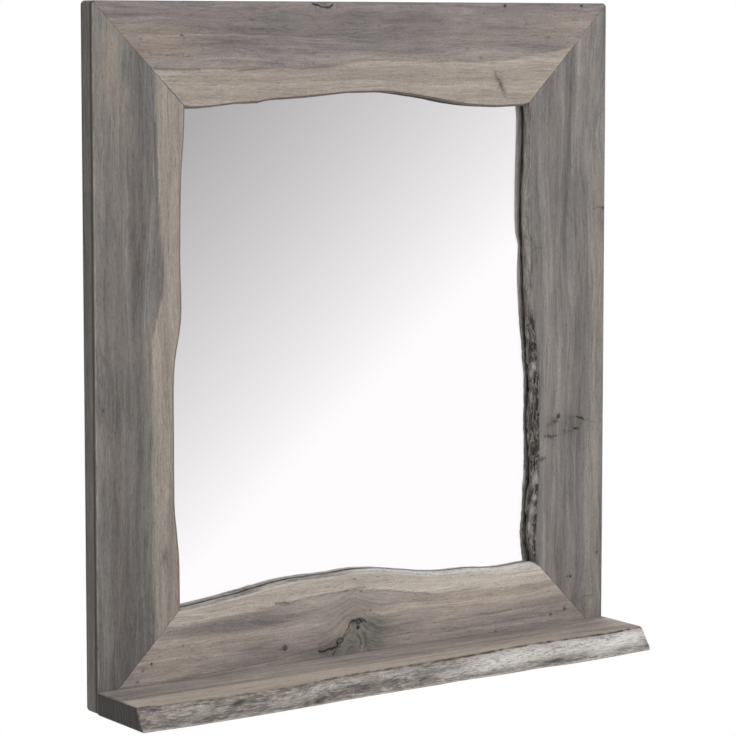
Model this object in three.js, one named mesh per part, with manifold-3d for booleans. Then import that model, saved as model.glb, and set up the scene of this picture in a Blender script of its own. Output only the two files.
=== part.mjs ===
// Wall mirror in a frame of four mitred live-edge boards, with a live-edge shelf board
// across its foot. Millimetres, +Z up, the front faces -Y and the wall is at y = 0.
// The origin is on the back of the top rail, at mid-width, level with the two hangers.
import * as THREE from 'three';
import { mergeVertices } from 'three/addons/utils/BufferGeometryUtils.js';
import Module from 'manifold-3d';

const wasm = await Module();
wasm.setup();

// ---- driving dimensions ---------------------------------------------------------------
const frameWidth = 700;
const frameHeight = 765;
const boardThickness = 26;
const arrisRadius = 3;            // round-over of the outer arrises, front and back
const cornerRadius = 5;           // outer corners of the frame, seen from the front
const mitreGap = 0.3;             // glue line between two boards
const fitGap = 0.3;               // between faces that rest on each other
const hangerDrop = 45;            // top of the frame to the hangers, and to the origin

const glassDepth = 12.5;          // front of the boards to the seat of the glass
const glassThickness = 4;
const glassOverlap = 9;           // glass hidden behind the widest hollow of the boards
const glassPlay = 1.5;            // all round the glass in its rebate
const glassCorner = 1;
const glassArris = 0.4;           // ground off both edges of the glass
const panelThickness = 5;
const panelLedge = 12.5;          // width of the step that the panel is screwed to
const panelPlay = 1;
const panelCorner = 3;

const leftStileWidth = 103.5;     // mean widths of the boards, outer edge to live edge
const rightStileWidth = 107;
const topRailWidth = 108;
const bottomRailWidth = 107.5;
const liveArrisRadius = 2.2;      // where the live edge meets the face of a board

const shelfThickness = 25.6;
const shelfDepth = 84;            // mean depth of the shelf's top face
const shelfArris = 1.4;
const shelfEndArris = 1.2;        // chamfer at the two ends

const biscuitLength = 56;
const biscuitWidth = 23;
const biscuitThickness = 4;
const biscuitTip = 1.5;           // half width left at its two ends
const biscuitPlay = 0.4;

const fixingPitch = 88;           // screws and dowels take turns along the shelf
const shelfScrewCount = 4;
const shelfScrew = {
  length: 66, shank: 2.5, head: 4.8, rim: 0.6, point: 5,   // shank and head are radii
};
const shelfScrewSink = 4;         // head below the back of the rail
const dowelRadius = 5;
const dowelLength = 38;
const dowelInRail = 16;
const holePlay = 0.25;            // all round a screw or dowel

const hangerSpacing = 400;
const hangerHeight = 46;
const hangerWidth = 16;
const hangerThickness = 1.6;
const hangerSink = 4;             // depth of the recess that the plate lies in
const keyholeEntryRadius = 5;
const keyholeSlotWidth = 5;
const keyholeTravel = 9;          // entry hole to the end of the slot
const endRoundness = 0.98;        // of the half width; what is left is a short flat
const headPocketWidth = 12;
const headPocketDepth = 6;
const hangerScrewInset = 5;       // from the end of the plate
const hangerScrew = {
  length: 15, shank: 1.5, head: 3, rim: 0.2, point: 3,
};
const hangerScrewSink = 0.2;      // head below the face of the plate

const panelScrewLength = 14;
const panelScrewRadius = 1.5;
const panelScrewPoint = 3;
const panHeadRadius = 3.2;
const panHeadHeight = 1.3;
const panTopShare = 0.72;         // of the head's radius that its flat top takes
const panRimShare = 0.45;         // of the head's height up to where its side turns in
const pointRadius = 0.3;          // left blunt at the tip of a screw
const panelScrewsPerRow = 3;      // on the top and bottom rails
const panelScrewsPerSide = 2;     // on each stile
const panelRowEnd = 85;           // corner of the panel to the nearest screw of a row
const panelSideEnd = 190;
const driveWidth = 0.8;           // arms of the cross recess
const driveDepth = 0.7;
const driveShare = 0.55;          // of the head's radius that the arms reach

// ---- live edges ---------------------------------------------------------------------------
// "front" is the arris on the face, as [share of the board's length, mm added to its mean
// width]; "seat" is how much further the wood reaches at the glass. Rails run from the left,
// stiles run from the foot. "belly" and "ripple" shape the face of the live edge.
const liveEdges = {
  left_stile: {
    front: [[0, 1], [0.14, 1], [0.2, 0.6], [0.247, -2.2], [0.289, -5.2], [0.448, -5.2],
      [0.495, -3.2], [0.527, 2.1], [0.565, 5.3], [0.631, 4.1], [0.73, 5.3], [0.777, 7.3],
      [0.812, 9.5], [0.85, 10.6], [1, 10.6]],
    seat: [[0, 1.6], [0.2, 2.4], [0.4, 1.4], [0.55, 2.6], [0.75, 1.5], [1, 2]],
    belly: 0.8,
    ripple: 0.25,
  },
  top_rail: {
    front: [[0, 6.4], [0.162, 6.4], [0.2, 6], [0.26, 2.2], [0.297, 1.6], [0.32, -0.9],
      [0.37, -2.5], [0.417, -4.5], [0.48, -7.6], [0.537, -7.5], [0.58, -4.8], [0.63, 0.2],
      [0.683, 6.4], [0.734, 10.3], [0.77, 11.2], [0.84, 10.1], [1, 10.1]],
    seat: [[0, 1.5], [0.3, 2.2], [0.5, 1.2], [0.7, 2.4], [1, 1.6]],
    belly: 0.8,
    ripple: 0.25,
  },
  right_stile: {
    front: [[0, -6.2], [0.131, -6.2], [0.143, -4], [0.17, -2.7], [0.195, -3.4],
      [0.222, -4.7], [0.26, -6.5], [0.29, -7], [0.365, -7], [0.417, -6.5], [0.456, -4],
      [0.521, 1.7], [0.586, 4.6], [0.625, 3], [0.652, 8], [0.717, 8.7], [0.782, 7.3],
      [0.835, 6.5], [0.852, 10], [1, 10]],
    seat: [[0, 0.8], [0.143, 0.8], [0.17, 2], [0.195, 4.4], [0.222, 5.7], [0.247, 5.2],
      [0.265, 2.5], [0.287, 3], [0.325, 6.2], [0.365, 8], [0.391, 5.9], [0.456, 5],
      [0.521, 2.9], [0.586, 3], [0.625, 6], [0.652, 2.6], [0.717, 1.9], [0.782, 0.5],
      [0.845, 1.5], [1, 1.5]],
    belly: 0.9,
    ripple: 0.9,
  },
  bottom_rail: {
    front: [[0, -4.8], [0.15, -4.8], [0.2, -2.1], [0.229, -0.1], [0.273, 3.6],
      [0.334, 9.8], [0.357, 11.1], [0.448, 11.3], [0.479, 12.5], [0.53, 9.5], [0.58, 3.9],
      [0.62, -1.2], [0.671, -4.8], [0.715, -5.6], [0.75, -8], [0.786, -9.5], [0.853, -7.9],
      [1, -7.9]],
    seat: [[0, 0], [0.3, 0], [0.45, 0.4], [0.6, 1.6], [0.8, 2.8], [1, 2.4]],
    belly: 1,
    ripple: 0.4,
  },
};

// the shelf's live front, as [share of its length, mm added to the depth], from the left
const shelfTopEdge = [[0, -2], [0.05, 6], [0.11, 8], [0.2, 9.8], [0.265, 11], [0.317, 7],
  [0.369, 1.2], [0.465, -1], [0.56, -1.2], [0.65, -5], [0.755, -10], [0.857, -9],
  [0.923, -6], [1, -11]];
const shelfFootEdge = [[0, 11.4], [0.1, 14.6], [0.2, 14.8], [0.3, 13], [0.44, 9.4],
  [0.51, 10], [0.6, 7.6], [0.68, 10], [0.76, 9.4], [0.84, 12], [0.93, 9.6], [1, 7]];
const shelfBelly = [[0, 0.5], [0.12, 1.6], [0.21, -1.6], [0.27, 1.2], [0.35, -1.6],
  [0.42, 1.2], [0.55, 1.8], [0.7, 0.6], [0.8, 1.6], [0.93, 0.4], [1, 0.8]];
const shelfRipple = 0.7;
const rippleLengths = [37, 71];   // mm along the wood, of the two waves of a ripple
const rippleLeans = [0.9, -0.6];  // radians that each wave shifts for 1 mm of depth
const shelfFrontLevels = [0.25, 0.5, 0.75];   // of its thickness, where its front is drawn

const stationStep = 15;           // between two sections along a board
const roundSteps = 10;            // faces round a small screw
const dowelSteps = 14;
const arcSteps = 5;               // half of the faces of an arc in an outline
const arrisSteps = 3;
const overrun = 5;                // how far a cutter runs past what it cuts

// ---- derived levels and places ----------------------------------------------------------
const topZ = hangerDrop;
const footZ = hangerDrop - frameHeight;
const halfWidth = frameWidth / 2;
const faceY = -boardThickness;
const seatY = faceY + glassDepth;
const glassBackY = seatY + fitGap + glassThickness;
const ledgeY = glassBackY + fitGap;
const panelBackY = ledgeY + fitGap + panelThickness;
const shelfBackY = faceY - fitGap;
const shelfMidZ = footZ + shelfThickness / 2;

// ---- small helpers --------------------------------------------------------------------
// a smooth curve through [share, value] points, flat where it turns and at its ends
function curveAt(points, share) {
  const last = points.length - 1;
  if (share <= points[0][0]) return points[0][1];
  if (share >= points[last][0]) return points[last][1];
  const i = points.findIndex((p, k) => k < last && share <= points[k + 1][0]);
  const slope = (k) => (points[k + 1][1] - points[k][1]) / (points[k + 1][0] - points[k][0]);
  const tangent = (k) => {
    if (k === 0 || k === last) return 0;
    const before = slope(k - 1);
    const after = slope(k);
    return before * after <= 0 ? 0 : (2 * before * after) / (before + after);
  };
  const [[s0, v0], [s1, v1]] = [points[i], points[i + 1]];
  const span = s1 - s0;
  const t = (share - s0) / span;
  return (2 * t ** 3 - 3 * t ** 2 + 1) * v0 + (t ** 3 - 2 * t ** 2 + t) * span * tangent(i)
    + (3 * t ** 2 - 2 * t ** 3) * v1 + (t ** 3 - t ** 2) * span * tangent(i + 1);
}

function toSolid(geometry) {
  const bare = geometry.clone();
  bare.deleteAttribute('normal');
  bare.deleteAttribute('uv');
  const merged = mergeVertices(bare, 1e-4);
  return new wasm.Manifold(new wasm.Mesh({
    numProp: 3,
    vertProperties: new Float32Array(merged.attributes.position.array),
    triVerts: new Uint32Array(merged.index.array),
  }));
}

function toGeometry(solid) {
  const mesh = solid.getMesh();
  const geometry = new THREE.BufferGeometry();
  geometry.setAttribute('position', new THREE.BufferAttribute(mesh.vertProperties, 3));
  geometry.setIndex(new THREE.BufferAttribute(mesh.triVerts, 1));
  geometry.computeVertexNormals();
  return geometry;
}

function cutAll(solid, cutters) {
  return cutters.reduce((left, cutter) => left.subtract(toSolid(cutter)), solid);
}

function box(x0, x1, y0, y1, z0, z1) {
  const geometry = new THREE.BoxGeometry(x1 - x0, y1 - y0, z1 - z0);
  geometry.translate((x0 + x1) / 2, (y0 + y1) / 2, (z0 + z1) / 2);
  return geometry;
}

// a shape drawn as seen from the front, x right and z up, made solid from y0 to y1;
// round gives both faces a rounded rim
function slab(shape, y0, y1, round = 0, steps = 1) {
  const geometry = new THREE.ExtrudeGeometry(shape, {
    depth: y1 - y0 - 2 * round,
    bevelEnabled: round > 0,
    bevelThickness: round,
    bevelSize: round,
    bevelOffset: -round,
    bevelSegments: steps,
    curveSegments: arcSteps,
  });
  geometry.rotateX(Math.PI / 2);
  geometry.translate(0, y1 - round, 0);
  return geometry;
}

function roundedRect(x0, x1, z0, z1, radius) {
  const shape = new THREE.Shape();
  const quarter = Math.PI / 2;
  shape.absarc(x1 - radius, z1 - radius, radius, 0, quarter, false);
  shape.absarc(x0 + radius, z1 - radius, radius, quarter, 2 * quarter, false);
  shape.absarc(x0 + radius, z0 + radius, radius, 2 * quarter, 3 * quarter, false);
  shape.absarc(x1 - radius, z0 + radius, radius, 3 * quarter, 4 * quarter, false);
  shape.closePath();
  return shape;
}

// a lathe profile of [radius, depth] pairs, turned and set at x, y, z so that it runs to -Y
function turned(profile, steps, x, y, z) {
  const points = profile.map(([radius, depth]) => new THREE.Vector2(radius, -depth));
  const geometry = new THREE.LatheGeometry(points.reverse(), steps);
  return geometry.translate(x, y, z);
}

// closed rings of [u, v], all with the same number of points and counter-clockwise, one at
// each station; place turns u, v and the station into x, y and z
function loft(rings, stations, place) {
  const count = rings[0].length;
  const positions = rings.flatMap((ring, k) => ring.flatMap(([u, v]) => place(u, v, stations[k])));
  const index = [];
  for (let k = 0; k + 1 < rings.length; k += 1) {
    for (let i = 0; i < count; i += 1) {
      const a = k * count + i;
      const b = k * count + ((i + 1) % count);
      index.push(a, b, b + count, a, b + count, a + count);
    }
  }
  const cap = (k, towardsEnd) => {
    const outline = rings[k].map(([u, v]) => new THREE.Vector2(u, v));
    THREE.ShapeUtils.triangulateShape(outline, []).forEach(([a, b, c]) => {
      const area = outline[b].clone().sub(outline[a]).cross(outline[c].clone().sub(outline[a]));
      const triangle = (area > 0) === towardsEnd ? [a, b, c] : [a, c, b];
      index.push(...triangle.map((i) => i + k * count));
    });
  };
  cap(0, false);
  cap(rings.length - 1, true);
  const geometry = new THREE.BufferGeometry();
  geometry.setAttribute('position', new THREE.Float32BufferAttribute(positions, 3));
  geometry.setIndex(index);
  const handed = new THREE.Vector3(...place(1, 0, 0)).sub(new THREE.Vector3(...place(0, 0, 0)))
    .cross(new THREE.Vector3(...place(0, 1, 0)).sub(new THREE.Vector3(...place(0, 0, 0))))
    .dot(new THREE.Vector3(...place(0, 0, 1)).sub(new THREE.Vector3(...place(0, 0, 0))));
  if (handed < 0) {
    for (let i = 0; i < index.length; i += 3) [index[i], index[i + 1]] = [index[i + 1], index[i]];
    geometry.setIndex(index);
  }
  return toSolid(geometry);
}

// count places from -reach to reach, evenly
function spread(count, reach) {
  return Array.from({ length: count }, (_, i) => (count > 1 ? (2 * i / (count - 1) - 1) * reach : 0));
}

const group = new THREE.Group();

function addPiece(name, geometry, material) {
  const mesh = new THREE.Mesh(geometry, material);
  mesh.name = name;
  group.add(mesh);
}

// ---- finishes -------------------------------------------------------------------------
const finish = (color, roughness, metalness = 0) => (
  new THREE.MeshStandardMaterial({ color, roughness, metalness })
);
const stainedBoard = () => finish(0x7d7670, 0.75);
const shelfWood = () => finish(0x8a837c, 0.8);
const bareBeech = () => finish(0xc8a878, 0.7);
const silveredGlass = () => finish(0xd8dcdc, 0.03, 1);
const hardboard = () => finish(0x7a5c42, 0.85);
const zincSteel = () => finish(0xb4b6b8, 0.35, 1);
const blackSteel = () => finish(0x2c2c2e, 0.45, 1);

// ---- the boards -------------------------------------------------------------------------
const boardRuns = {
  left_stile: {
    width: leftStileWidth,
    length: frameHeight,
    place: (u, v, s) => [-halfWidth + u, faceY + v, footZ + s],
  },
  top_rail: {
    width: topRailWidth,
    length: frameWidth,
    place: (u, v, s) => [-halfWidth + s, faceY + v, topZ - u],
  },
  right_stile: {
    width: rightStileWidth,
    length: frameHeight,
    place: (u, v, s) => [halfWidth - u, faceY + v, footZ + s],
  },
  bottom_rail: {
    width: bottomRailWidth,
    length: frameWidth,
    place: (u, v, s) => [-halfWidth + s, faceY + v, footZ + u],
  },
};

function stationsAlong(length, step) {
  const count = Math.round(length / step);
  return Array.from({ length: count + 1 }, (_, i) => (i * length) / count);
}

// width of a board between its mitres: least on its face, and most at the glass
function boardReach(name) {
  const { width, length } = boardRuns[name];
  const { front, seat } = liveEdges[name];
  const stations = stationsAlong(length - 2 * width, stationStep / 2).map((s) => s + width);
  const fronts = stations.map((s) => width + curveAt(front, s / length));
  const seats = stations.map((s, i) => fronts[i] + curveAt(seat, s / length));
  return { least: Math.min(...fronts), most: Math.max(...seats) };
}

const reach = Object.fromEntries(Object.keys(boardRuns).map((name) => [name, boardReach(name)]));
const glass = {
  x0: -halfWidth + reach.left_stile.least - glassOverlap,
  x1: halfWidth - reach.right_stile.least + glassOverlap,
  z0: footZ + reach.bottom_rail.least - glassOverlap,
  z1: topZ - reach.top_rail.least + glassOverlap,
};
const grown = (r, by) => ({ x0: r.x0 - by, x1: r.x1 + by, z0: r.z0 - by, z1: r.z1 + by });
const glassPocket = grown(glass, glassPlay);
const panelPocket = grown(glassPocket, panelLedge);
const panel = grown(panelPocket, -panelPlay);

// two crossing waves over a live face, from -1 to 1, at s along it and v through it
function ripple(s, v) {
  const waves = rippleLengths.map((wave, i) => (
    Math.sin((2 * Math.PI * s) / wave + rippleLeans[i] * v)
  ));
  return (waves[0] + waves[1]) / 2;
}

// the section of a board: straight at the outer edge, rounded arris and live edge inside
function boardSection(name, s) {
  const edge = liveEdges[name];
  const { width, length } = boardRuns[name];
  const share = s / length;
  const front = width + curveAt(edge.front, share);
  const seat = front + curveAt(edge.seat, share);
  const r = liveArrisRadius;
  const outside = -2 * arrisRadius;
  const ring = [[outside, 0]];
  [0, 0.5, 1].forEach((t) => {
    const angle = (t * Math.PI) / 2;
    ring.push([front - r + r * Math.sin(angle), r - r * Math.cos(angle)]);
  });
  [1 / 3, 2 / 3].forEach((t) => {
    const depth = r + (glassDepth - r) * t;
    const swell = edge.belly * Math.sin(t * Math.PI) + edge.ripple * ripple(s, depth);
    ring.push([front + (seat - front) * t + swell, depth]);
  });
  ring.push([seat, glassDepth], [seat, boardThickness], [outside, boardThickness]);
  return ring;
}

// what lies between the two mitres of a board, less half of the glue line at each
function mitreWedge(name) {
  const { length, place } = boardRuns[name];
  const inset = mitreGap / Math.SQRT2;
  const over = 2 * arrisRadius;
  const deep = Math.max(...Object.values(reach).map((r) => r.most)) + overrun;
  const corners = [[-over, inset - over], [-over, length - inset + over],
    [deep, length - inset - deep], [deep, inset + deep]];
  const points = corners.map(([u, s]) => place(u, 0, s));
  const shape = new THREE.Shape(points.map(([x, , z]) => new THREE.Vector2(x, z)));
  return slab(shape, faceY - overrun, overrun);
}

const envelope = toSolid(slab(
  roundedRect(-halfWidth, halfWidth, footZ, topZ, cornerRadius),
  faceY, 0, arrisRadius, arrisSteps,
));

function frameBoard(name) {
  const { length, place } = boardRuns[name];
  const stations = stationsAlong(length, stationStep);
  const rings = stations.map((s) => boardSection(name, s));
  return loft(rings, stations, place).intersect(envelope).intersect(toSolid(mitreWedge(name)));
}

const rebates = [
  box(glassPocket.x0, glassPocket.x1, seatY, overrun, glassPocket.z0, glassPocket.z1),
  box(panelPocket.x0, panelPocket.x1, ledgeY, overrun, panelPocket.z0, panelPocket.z1),
];

// ---- mitre biscuits -----------------------------------------------------------------------
function biscuitShape(play) {
  const a = biscuitLength / 2 + play;
  const b = biscuitWidth / 2 + play;
  const tip = biscuitTip + play;
  const shape = new THREE.Shape();
  shape.moveTo(-a, -tip);
  shape.quadraticCurveTo(0, tip - 2 * b, a, -tip);
  shape.lineTo(a, tip);
  shape.quadraticCurveTo(0, 2 * b - tip, -a, tip);
  shape.closePath();
  return shape;
}

// half way along the stretch of the mitre that has its full thickness
const biscuitInset = Math.min(
  panelPocket.x0 + halfWidth, halfWidth - panelPocket.x1, panelPocket.z0 - footZ, topZ - panelPocket.z1,
) / 2;
const corners = [
  { name: 'top_left', sx: -1, z: topZ - biscuitInset, turn: 1 },
  { name: 'top_right', sx: 1, z: topZ - biscuitInset, turn: -1 },
  { name: 'bottom_left', sx: -1, z: footZ + biscuitInset, turn: -1 },
  { name: 'bottom_right', sx: 1, z: footZ + biscuitInset, turn: 1 },
];

function biscuitAt(corner, play) {
  const half = biscuitThickness / 2 + play;
  const geometry = slab(biscuitShape(play), -half, half);
  geometry.rotateY((corner.turn * Math.PI) / 4);
  geometry.translate(corner.sx * (halfWidth - biscuitInset), faceY / 2, corner.z);
  return geometry;
}

// ---- screws and dowels ----------------------------------------------------------------------
// play is added all round for the hole of a screw, and lift runs that hole out past the head
function countersunkProfile(screw, play = 0, lift = 0) {
  const head = screw.head + play;
  const shank = screw.shank + play;
  const end = screw.length + play;
  return [[0, -lift], [head, -lift], [head, screw.rim],
    [shank, screw.rim + head - shank], [shank, screw.length - screw.point],
    [pointRadius + play, end], [0, end]];
}

function panProfile() {
  return [[0, -panHeadHeight], [panTopShare * panHeadRadius, -panHeadHeight],
    [panHeadRadius, -panRimShare * panHeadHeight], [panHeadRadius, 0], [panelScrewRadius, 0],
    [panelScrewRadius, panelScrewLength - panelScrewPoint], [pointRadius, panelScrewLength],
    [0, panelScrewLength]];
}

function pilotProfile() {
  const r = panelScrewRadius + holePlay;
  const end = panelScrewLength + holePlay;
  return [[0, 0], [r, 0], [r, panelScrewLength - panelScrewPoint],
    [pointRadius + holePlay, end], [0, end]];
}

// the recess of a cross-head screw whose head ends at y
function crossRecess(x, y, z, headRadius) {
  const half = driveWidth / 2;
  const arm = driveShare * headRadius;
  return [[half, arm], [arm, half]].map(([dx, dz]) => (
    box(x - dx, x + dx, y - driveDepth, y + overrun, z - dz, z + dz)
  ));
}

function panScrew(x, seat, z) {
  const blank = toSolid(turned(panProfile(), roundSteps, x, seat, z));
  return cutAll(blank, crossRecess(x, seat + panHeadHeight, z, panHeadRadius));
}

function countersunkScrew(screw, x, top, z) {
  const blank = toSolid(turned(countersunkProfile(screw), roundSteps, x, top, z));
  return cutAll(blank, crossRecess(x, top, z, screw.head));
}

const fixingPlaces = spread(2 * shelfScrewCount - 1, (shelfScrewCount - 1) * fixingPitch);
const shelfScrewXs = fixingPlaces.filter((_, i) => i % 2 === 0);
const dowelXs = fixingPlaces.filter((_, i) => i % 2 === 1);
const shelfScrewBore = countersunkProfile(shelfScrew, holePlay, shelfScrewSink + overrun);
const shelfScrewBores = shelfScrewXs.map((x) => (
  turned(shelfScrewBore, roundSteps, x, -shelfScrewSink, shelfMidZ)
));

function dowelAt(x, play) {
  const profile = [[0, -play], [dowelRadius + play, -play],
    [dowelRadius + play, dowelLength + play], [0, dowelLength + play]];
  return turned(profile, dowelSteps, x, faceY + dowelInRail, shelfMidZ);
}

// ---- hangers --------------------------------------------------------------------------------
// round-ended, with a short flat left at each end
function stadium(width, height, play) {
  const w = width / 2 + play;
  const h = height / 2 + play;
  return roundedRect(-w, w, -h, h, endRoundness * w);
}

function keyholePath() {
  const entryZ = -keyholeTravel / 2;
  const slotZ = keyholeTravel / 2;
  const half = keyholeSlotWidth / 2;
  const meet = Math.acos(half / keyholeEntryRadius);
  const path = new THREE.Path();
  path.absarc(0, entryZ, keyholeEntryRadius, Math.PI - meet, 2 * Math.PI + meet, false);
  path.absarc(0, slotZ, half, 0, Math.PI, false);
  path.closePath();
  return path;
}

const hangers = [{ side: 'left', x: -hangerSpacing / 2 }, { side: 'right', x: hangerSpacing / 2 }];
const plateY = -hangerSink + fitGap;
const hangerScrewZs = [-1, 1].map((end) => end * (hangerHeight / 2 - hangerScrewInset));
const hangerScrewTop = plateY + hangerThickness - hangerScrewSink;

function hangerBores(x) {
  const bore = countersunkProfile(hangerScrew, holePlay, hangerScrewSink + overrun);
  return hangerScrewZs.map((z) => turned(bore, roundSteps, x, hangerScrewTop, z));
}

function hangerPlate(x) {
  const shape = stadium(hangerWidth, hangerHeight, 0);
  shape.holes.push(keyholePath());
  const geometry = slab(shape, plateY, plateY + hangerThickness);
  return cutAll(toSolid(geometry.translate(x, 0, 0)), hangerBores(x));
}

function hangerRecess(x) {
  const plateBed = slab(stadium(hangerWidth, hangerHeight, fitGap), -hangerSink, overrun);
  const headRoom = slab(
    stadium(headPocketWidth, keyholeTravel + headPocketWidth, 0),
    -hangerSink - headPocketDepth, 0,
  );
  const recess = [plateBed, headRoom].map((geometry) => geometry.translate(x, 0, 0));
  return [...recess, ...hangerBores(x)];
}

// ---- back panel screws ------------------------------------------------------------------------
const panelMidX = (panel.x0 + panel.x1) / 2;
const panelMidZ = (panel.z0 + panel.z1) / 2;
const rowXs = spread(panelScrewsPerRow, (panel.x1 - panel.x0) / 2 - panelRowEnd);
const sideZs = spread(panelScrewsPerSide, (panel.z1 - panel.z0) / 2 - panelSideEnd);
const ledgeMid = panelLedge / 2;
const panelScrewPlaces = [
  ...rowXs.map((dx) => [panelMidX + dx, glassPocket.z1 + ledgeMid]),
  ...rowXs.map((dx) => [panelMidX + dx, glassPocket.z0 - ledgeMid]),
  ...sideZs.map((dz) => [glassPocket.x0 - ledgeMid, panelMidZ + dz]),
  ...sideZs.map((dz) => [glassPocket.x1 + ledgeMid, panelMidZ + dz]),
];
const panelScrewSeat = panelBackY + fitGap;
const panelPilots = panelScrewPlaces.map(([x, z]) => (
  turned(pilotProfile(), roundSteps, x, panelScrewSeat, z)
));

// ---- the shelf board ----------------------------------------------------------------------------
// the section of the shelf: its front slants out from the top arris to the foot
function shelfSection(s) {
  const share = s / frameWidth;
  const top = shelfDepth + curveAt(shelfTopEdge, share);
  const foot = shelfDepth + curveAt(shelfFootEdge, share);
  const belly = curveAt(shelfBelly, share);
  const frontAt = (v) => {
    const t = v / shelfThickness;
    return foot + (top - foot) * t + (belly + shelfRipple * ripple(s, v)) * Math.sin(t * Math.PI);
  };
  const arris = shelfArris / shelfThickness;
  const heights = [arris, ...shelfFrontLevels, 1 - arris].map((t) => t * shelfThickness);
  return [[0, 0], [foot - shelfArris, 0], ...heights.map((v) => [frontAt(v), v]),
    [top - shelfArris, shelfThickness], [0, shelfThickness]];
}

function shelfSolid() {
  const c = shelfEndArris;
  const inner = stationsAlong(frameWidth - 2 * c, stationStep).map((s) => s + c);
  const stations = [0, ...inner, frameWidth];
  const rings = stations.map((s) => {
    const ring = shelfSection(s);
    if (s > 0 && s < frameWidth) return ring;
    return ring.map(([u, v]) => [u > 0 ? u - c : u, Math.min(Math.max(v, c), shelfThickness - c)]);
  });
  return loft(rings, stations, (u, v, s) => [-halfWidth + s, shelfBackY - u, footZ + v]);
}

// ---- assembly -------------------------------------------------------------------------------
const slots = corners.map((corner) => biscuitAt(corner, biscuitPlay / 2));
const shelfBores = [...shelfScrewBores, ...dowelXs.map((x) => dowelAt(x, holePlay))];
const fixings = {
  left_stile: [],
  top_rail: hangers.flatMap(({ x }) => hangerRecess(x)),
  right_stile: [],
  bottom_rail: shelfBores,
};
Object.keys(boardRuns).forEach((name) => {
  const cutters = [...rebates, ...slots, ...panelPilots, ...fixings[name]];
  addPiece(name, toGeometry(cutAll(frameBoard(name), cutters)), stainedBoard());
});
addPiece('shelf_board', toGeometry(cutAll(shelfSolid(), shelfBores)), shelfWood());

const paneShape = roundedRect(glass.x0, glass.x1, glass.z0, glass.z1, glassCorner);
addPiece('mirror_pane', slab(paneShape, seatY + fitGap, glassBackY, glassArris), silveredGlass());

const panelShape = roundedRect(panel.x0, panel.x1, panel.z0, panel.z1, panelCorner);
const panelBlank = toSolid(slab(panelShape, ledgeY + fitGap, panelBackY));
addPiece('back_panel', toGeometry(cutAll(panelBlank, panelPilots)), hardboard());

corners.forEach((corner) => {
  addPiece(`mitre_biscuit_${corner.name}`, biscuitAt(corner, 0), bareBeech());
});
dowelXs.forEach((x, i) => addPiece(`shelf_dowel_${i + 1}`, dowelAt(x, 0), bareBeech()));
shelfScrewXs.forEach((x, i) => {
  const screw = countersunkScrew(shelfScrew, x, -shelfScrewSink, shelfMidZ);
  addPiece(`shelf_screw_${i + 1}`, toGeometry(screw), blackSteel());
});
hangers.forEach(({ side, x }) => {
  addPiece(`keyhole_hanger_${side}`, toGeometry(hangerPlate(x)), zincSteel());
  hangerScrewZs.forEach((z, i) => {
    const screw = countersunkScrew(hangerScrew, x, hangerScrewTop, z);
    addPiece(`hanger_screw_${side}_${i + 1}`, toGeometry(screw), zincSteel());
  });
});
panelScrewPlaces.forEach(([x, z], i) => {
  const screw = panScrew(x, panelScrewSeat, z);
  addPiece(`panel_screw_${i + 1}`, toGeometry(screw), blackSteel());
});

export default group;
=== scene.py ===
"""A wall mirror in a mitred frame of grey-stained live-edge boards, with a live-edge shelf."""

import itertools
import math
from dataclasses import dataclass
from functools import partial
from types import SimpleNamespace

import bmesh
import bpy
import numpy as np
from mathutils import Matrix, Vector


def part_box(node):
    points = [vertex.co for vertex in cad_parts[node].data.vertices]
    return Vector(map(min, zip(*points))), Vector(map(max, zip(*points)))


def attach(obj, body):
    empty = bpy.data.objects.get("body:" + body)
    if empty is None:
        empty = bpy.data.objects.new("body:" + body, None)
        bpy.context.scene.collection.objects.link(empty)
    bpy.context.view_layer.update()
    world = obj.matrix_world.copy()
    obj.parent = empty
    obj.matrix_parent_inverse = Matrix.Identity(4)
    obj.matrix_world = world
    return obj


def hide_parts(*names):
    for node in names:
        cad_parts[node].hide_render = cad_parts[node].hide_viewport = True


bl_info = {
    "name": "Live-edge wall mirror",
    "version": (1, 0, 0),
    "blender": (4, 5, 0),
    "location": "3D View > Sidebar > Mirror",
    "description": "Builds the looks of a live-edge wall mirror with a shelf round its CAD frame",
    "category": "Object",
}

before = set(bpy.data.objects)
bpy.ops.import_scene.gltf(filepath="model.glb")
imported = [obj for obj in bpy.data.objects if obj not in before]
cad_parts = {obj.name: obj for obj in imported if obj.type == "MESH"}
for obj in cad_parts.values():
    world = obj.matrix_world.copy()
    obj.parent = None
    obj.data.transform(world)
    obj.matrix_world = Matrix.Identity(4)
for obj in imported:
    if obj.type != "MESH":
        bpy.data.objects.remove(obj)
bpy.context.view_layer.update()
MM = 0.001

# ---- the boards and their own coordinates --------------------------------------------------

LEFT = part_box("left_stile")[0].x
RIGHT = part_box("right_stile")[1].x
FACE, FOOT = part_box("bottom_rail")[0].yz
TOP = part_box("top_rail")[1].z
SHELF_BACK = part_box("shelf_board")[1].y
SHELF_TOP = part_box("shelf_board")[1].z
SHELF_THICKNESS = (SHELF_TOP - FOOT) / MM
LIP = 12.5                 # mm of live edge in front of the rebate for the glass
LIVE_REACH = 6             # mm behind the live edge's line that are still live edge
LEVEL = 0.01               # mm within which a point lies on a board's face
FRONT_LINE = 4.4           # mm behind the face: a line of painted shade along a board's outer edge
BACK_LINE = 4              # mm in front of the back: the other one
LINE_FADE = 1.4            # mm beside them that are cut fine, so that they fade softly
X, Y, Z = np.eye(3)


class Board:
    """A board's own coordinates in mm: s along it, u in from its straight edge, d below its face"""

    def __init__(self, origin, along, across, down, live_depth=LIP, mitred=True):
        self.origin = np.array(origin)
        self.axes = np.array([along, across, down])
        self.live_depth = live_depth
        self.mitred = mitred

    def local(self, points):
        return (np.asarray(points) - self.origin) @ self.axes.T / MM

    def world(self, places):
        return np.asarray(places) * MM @ self.axes + self.origin


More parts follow.
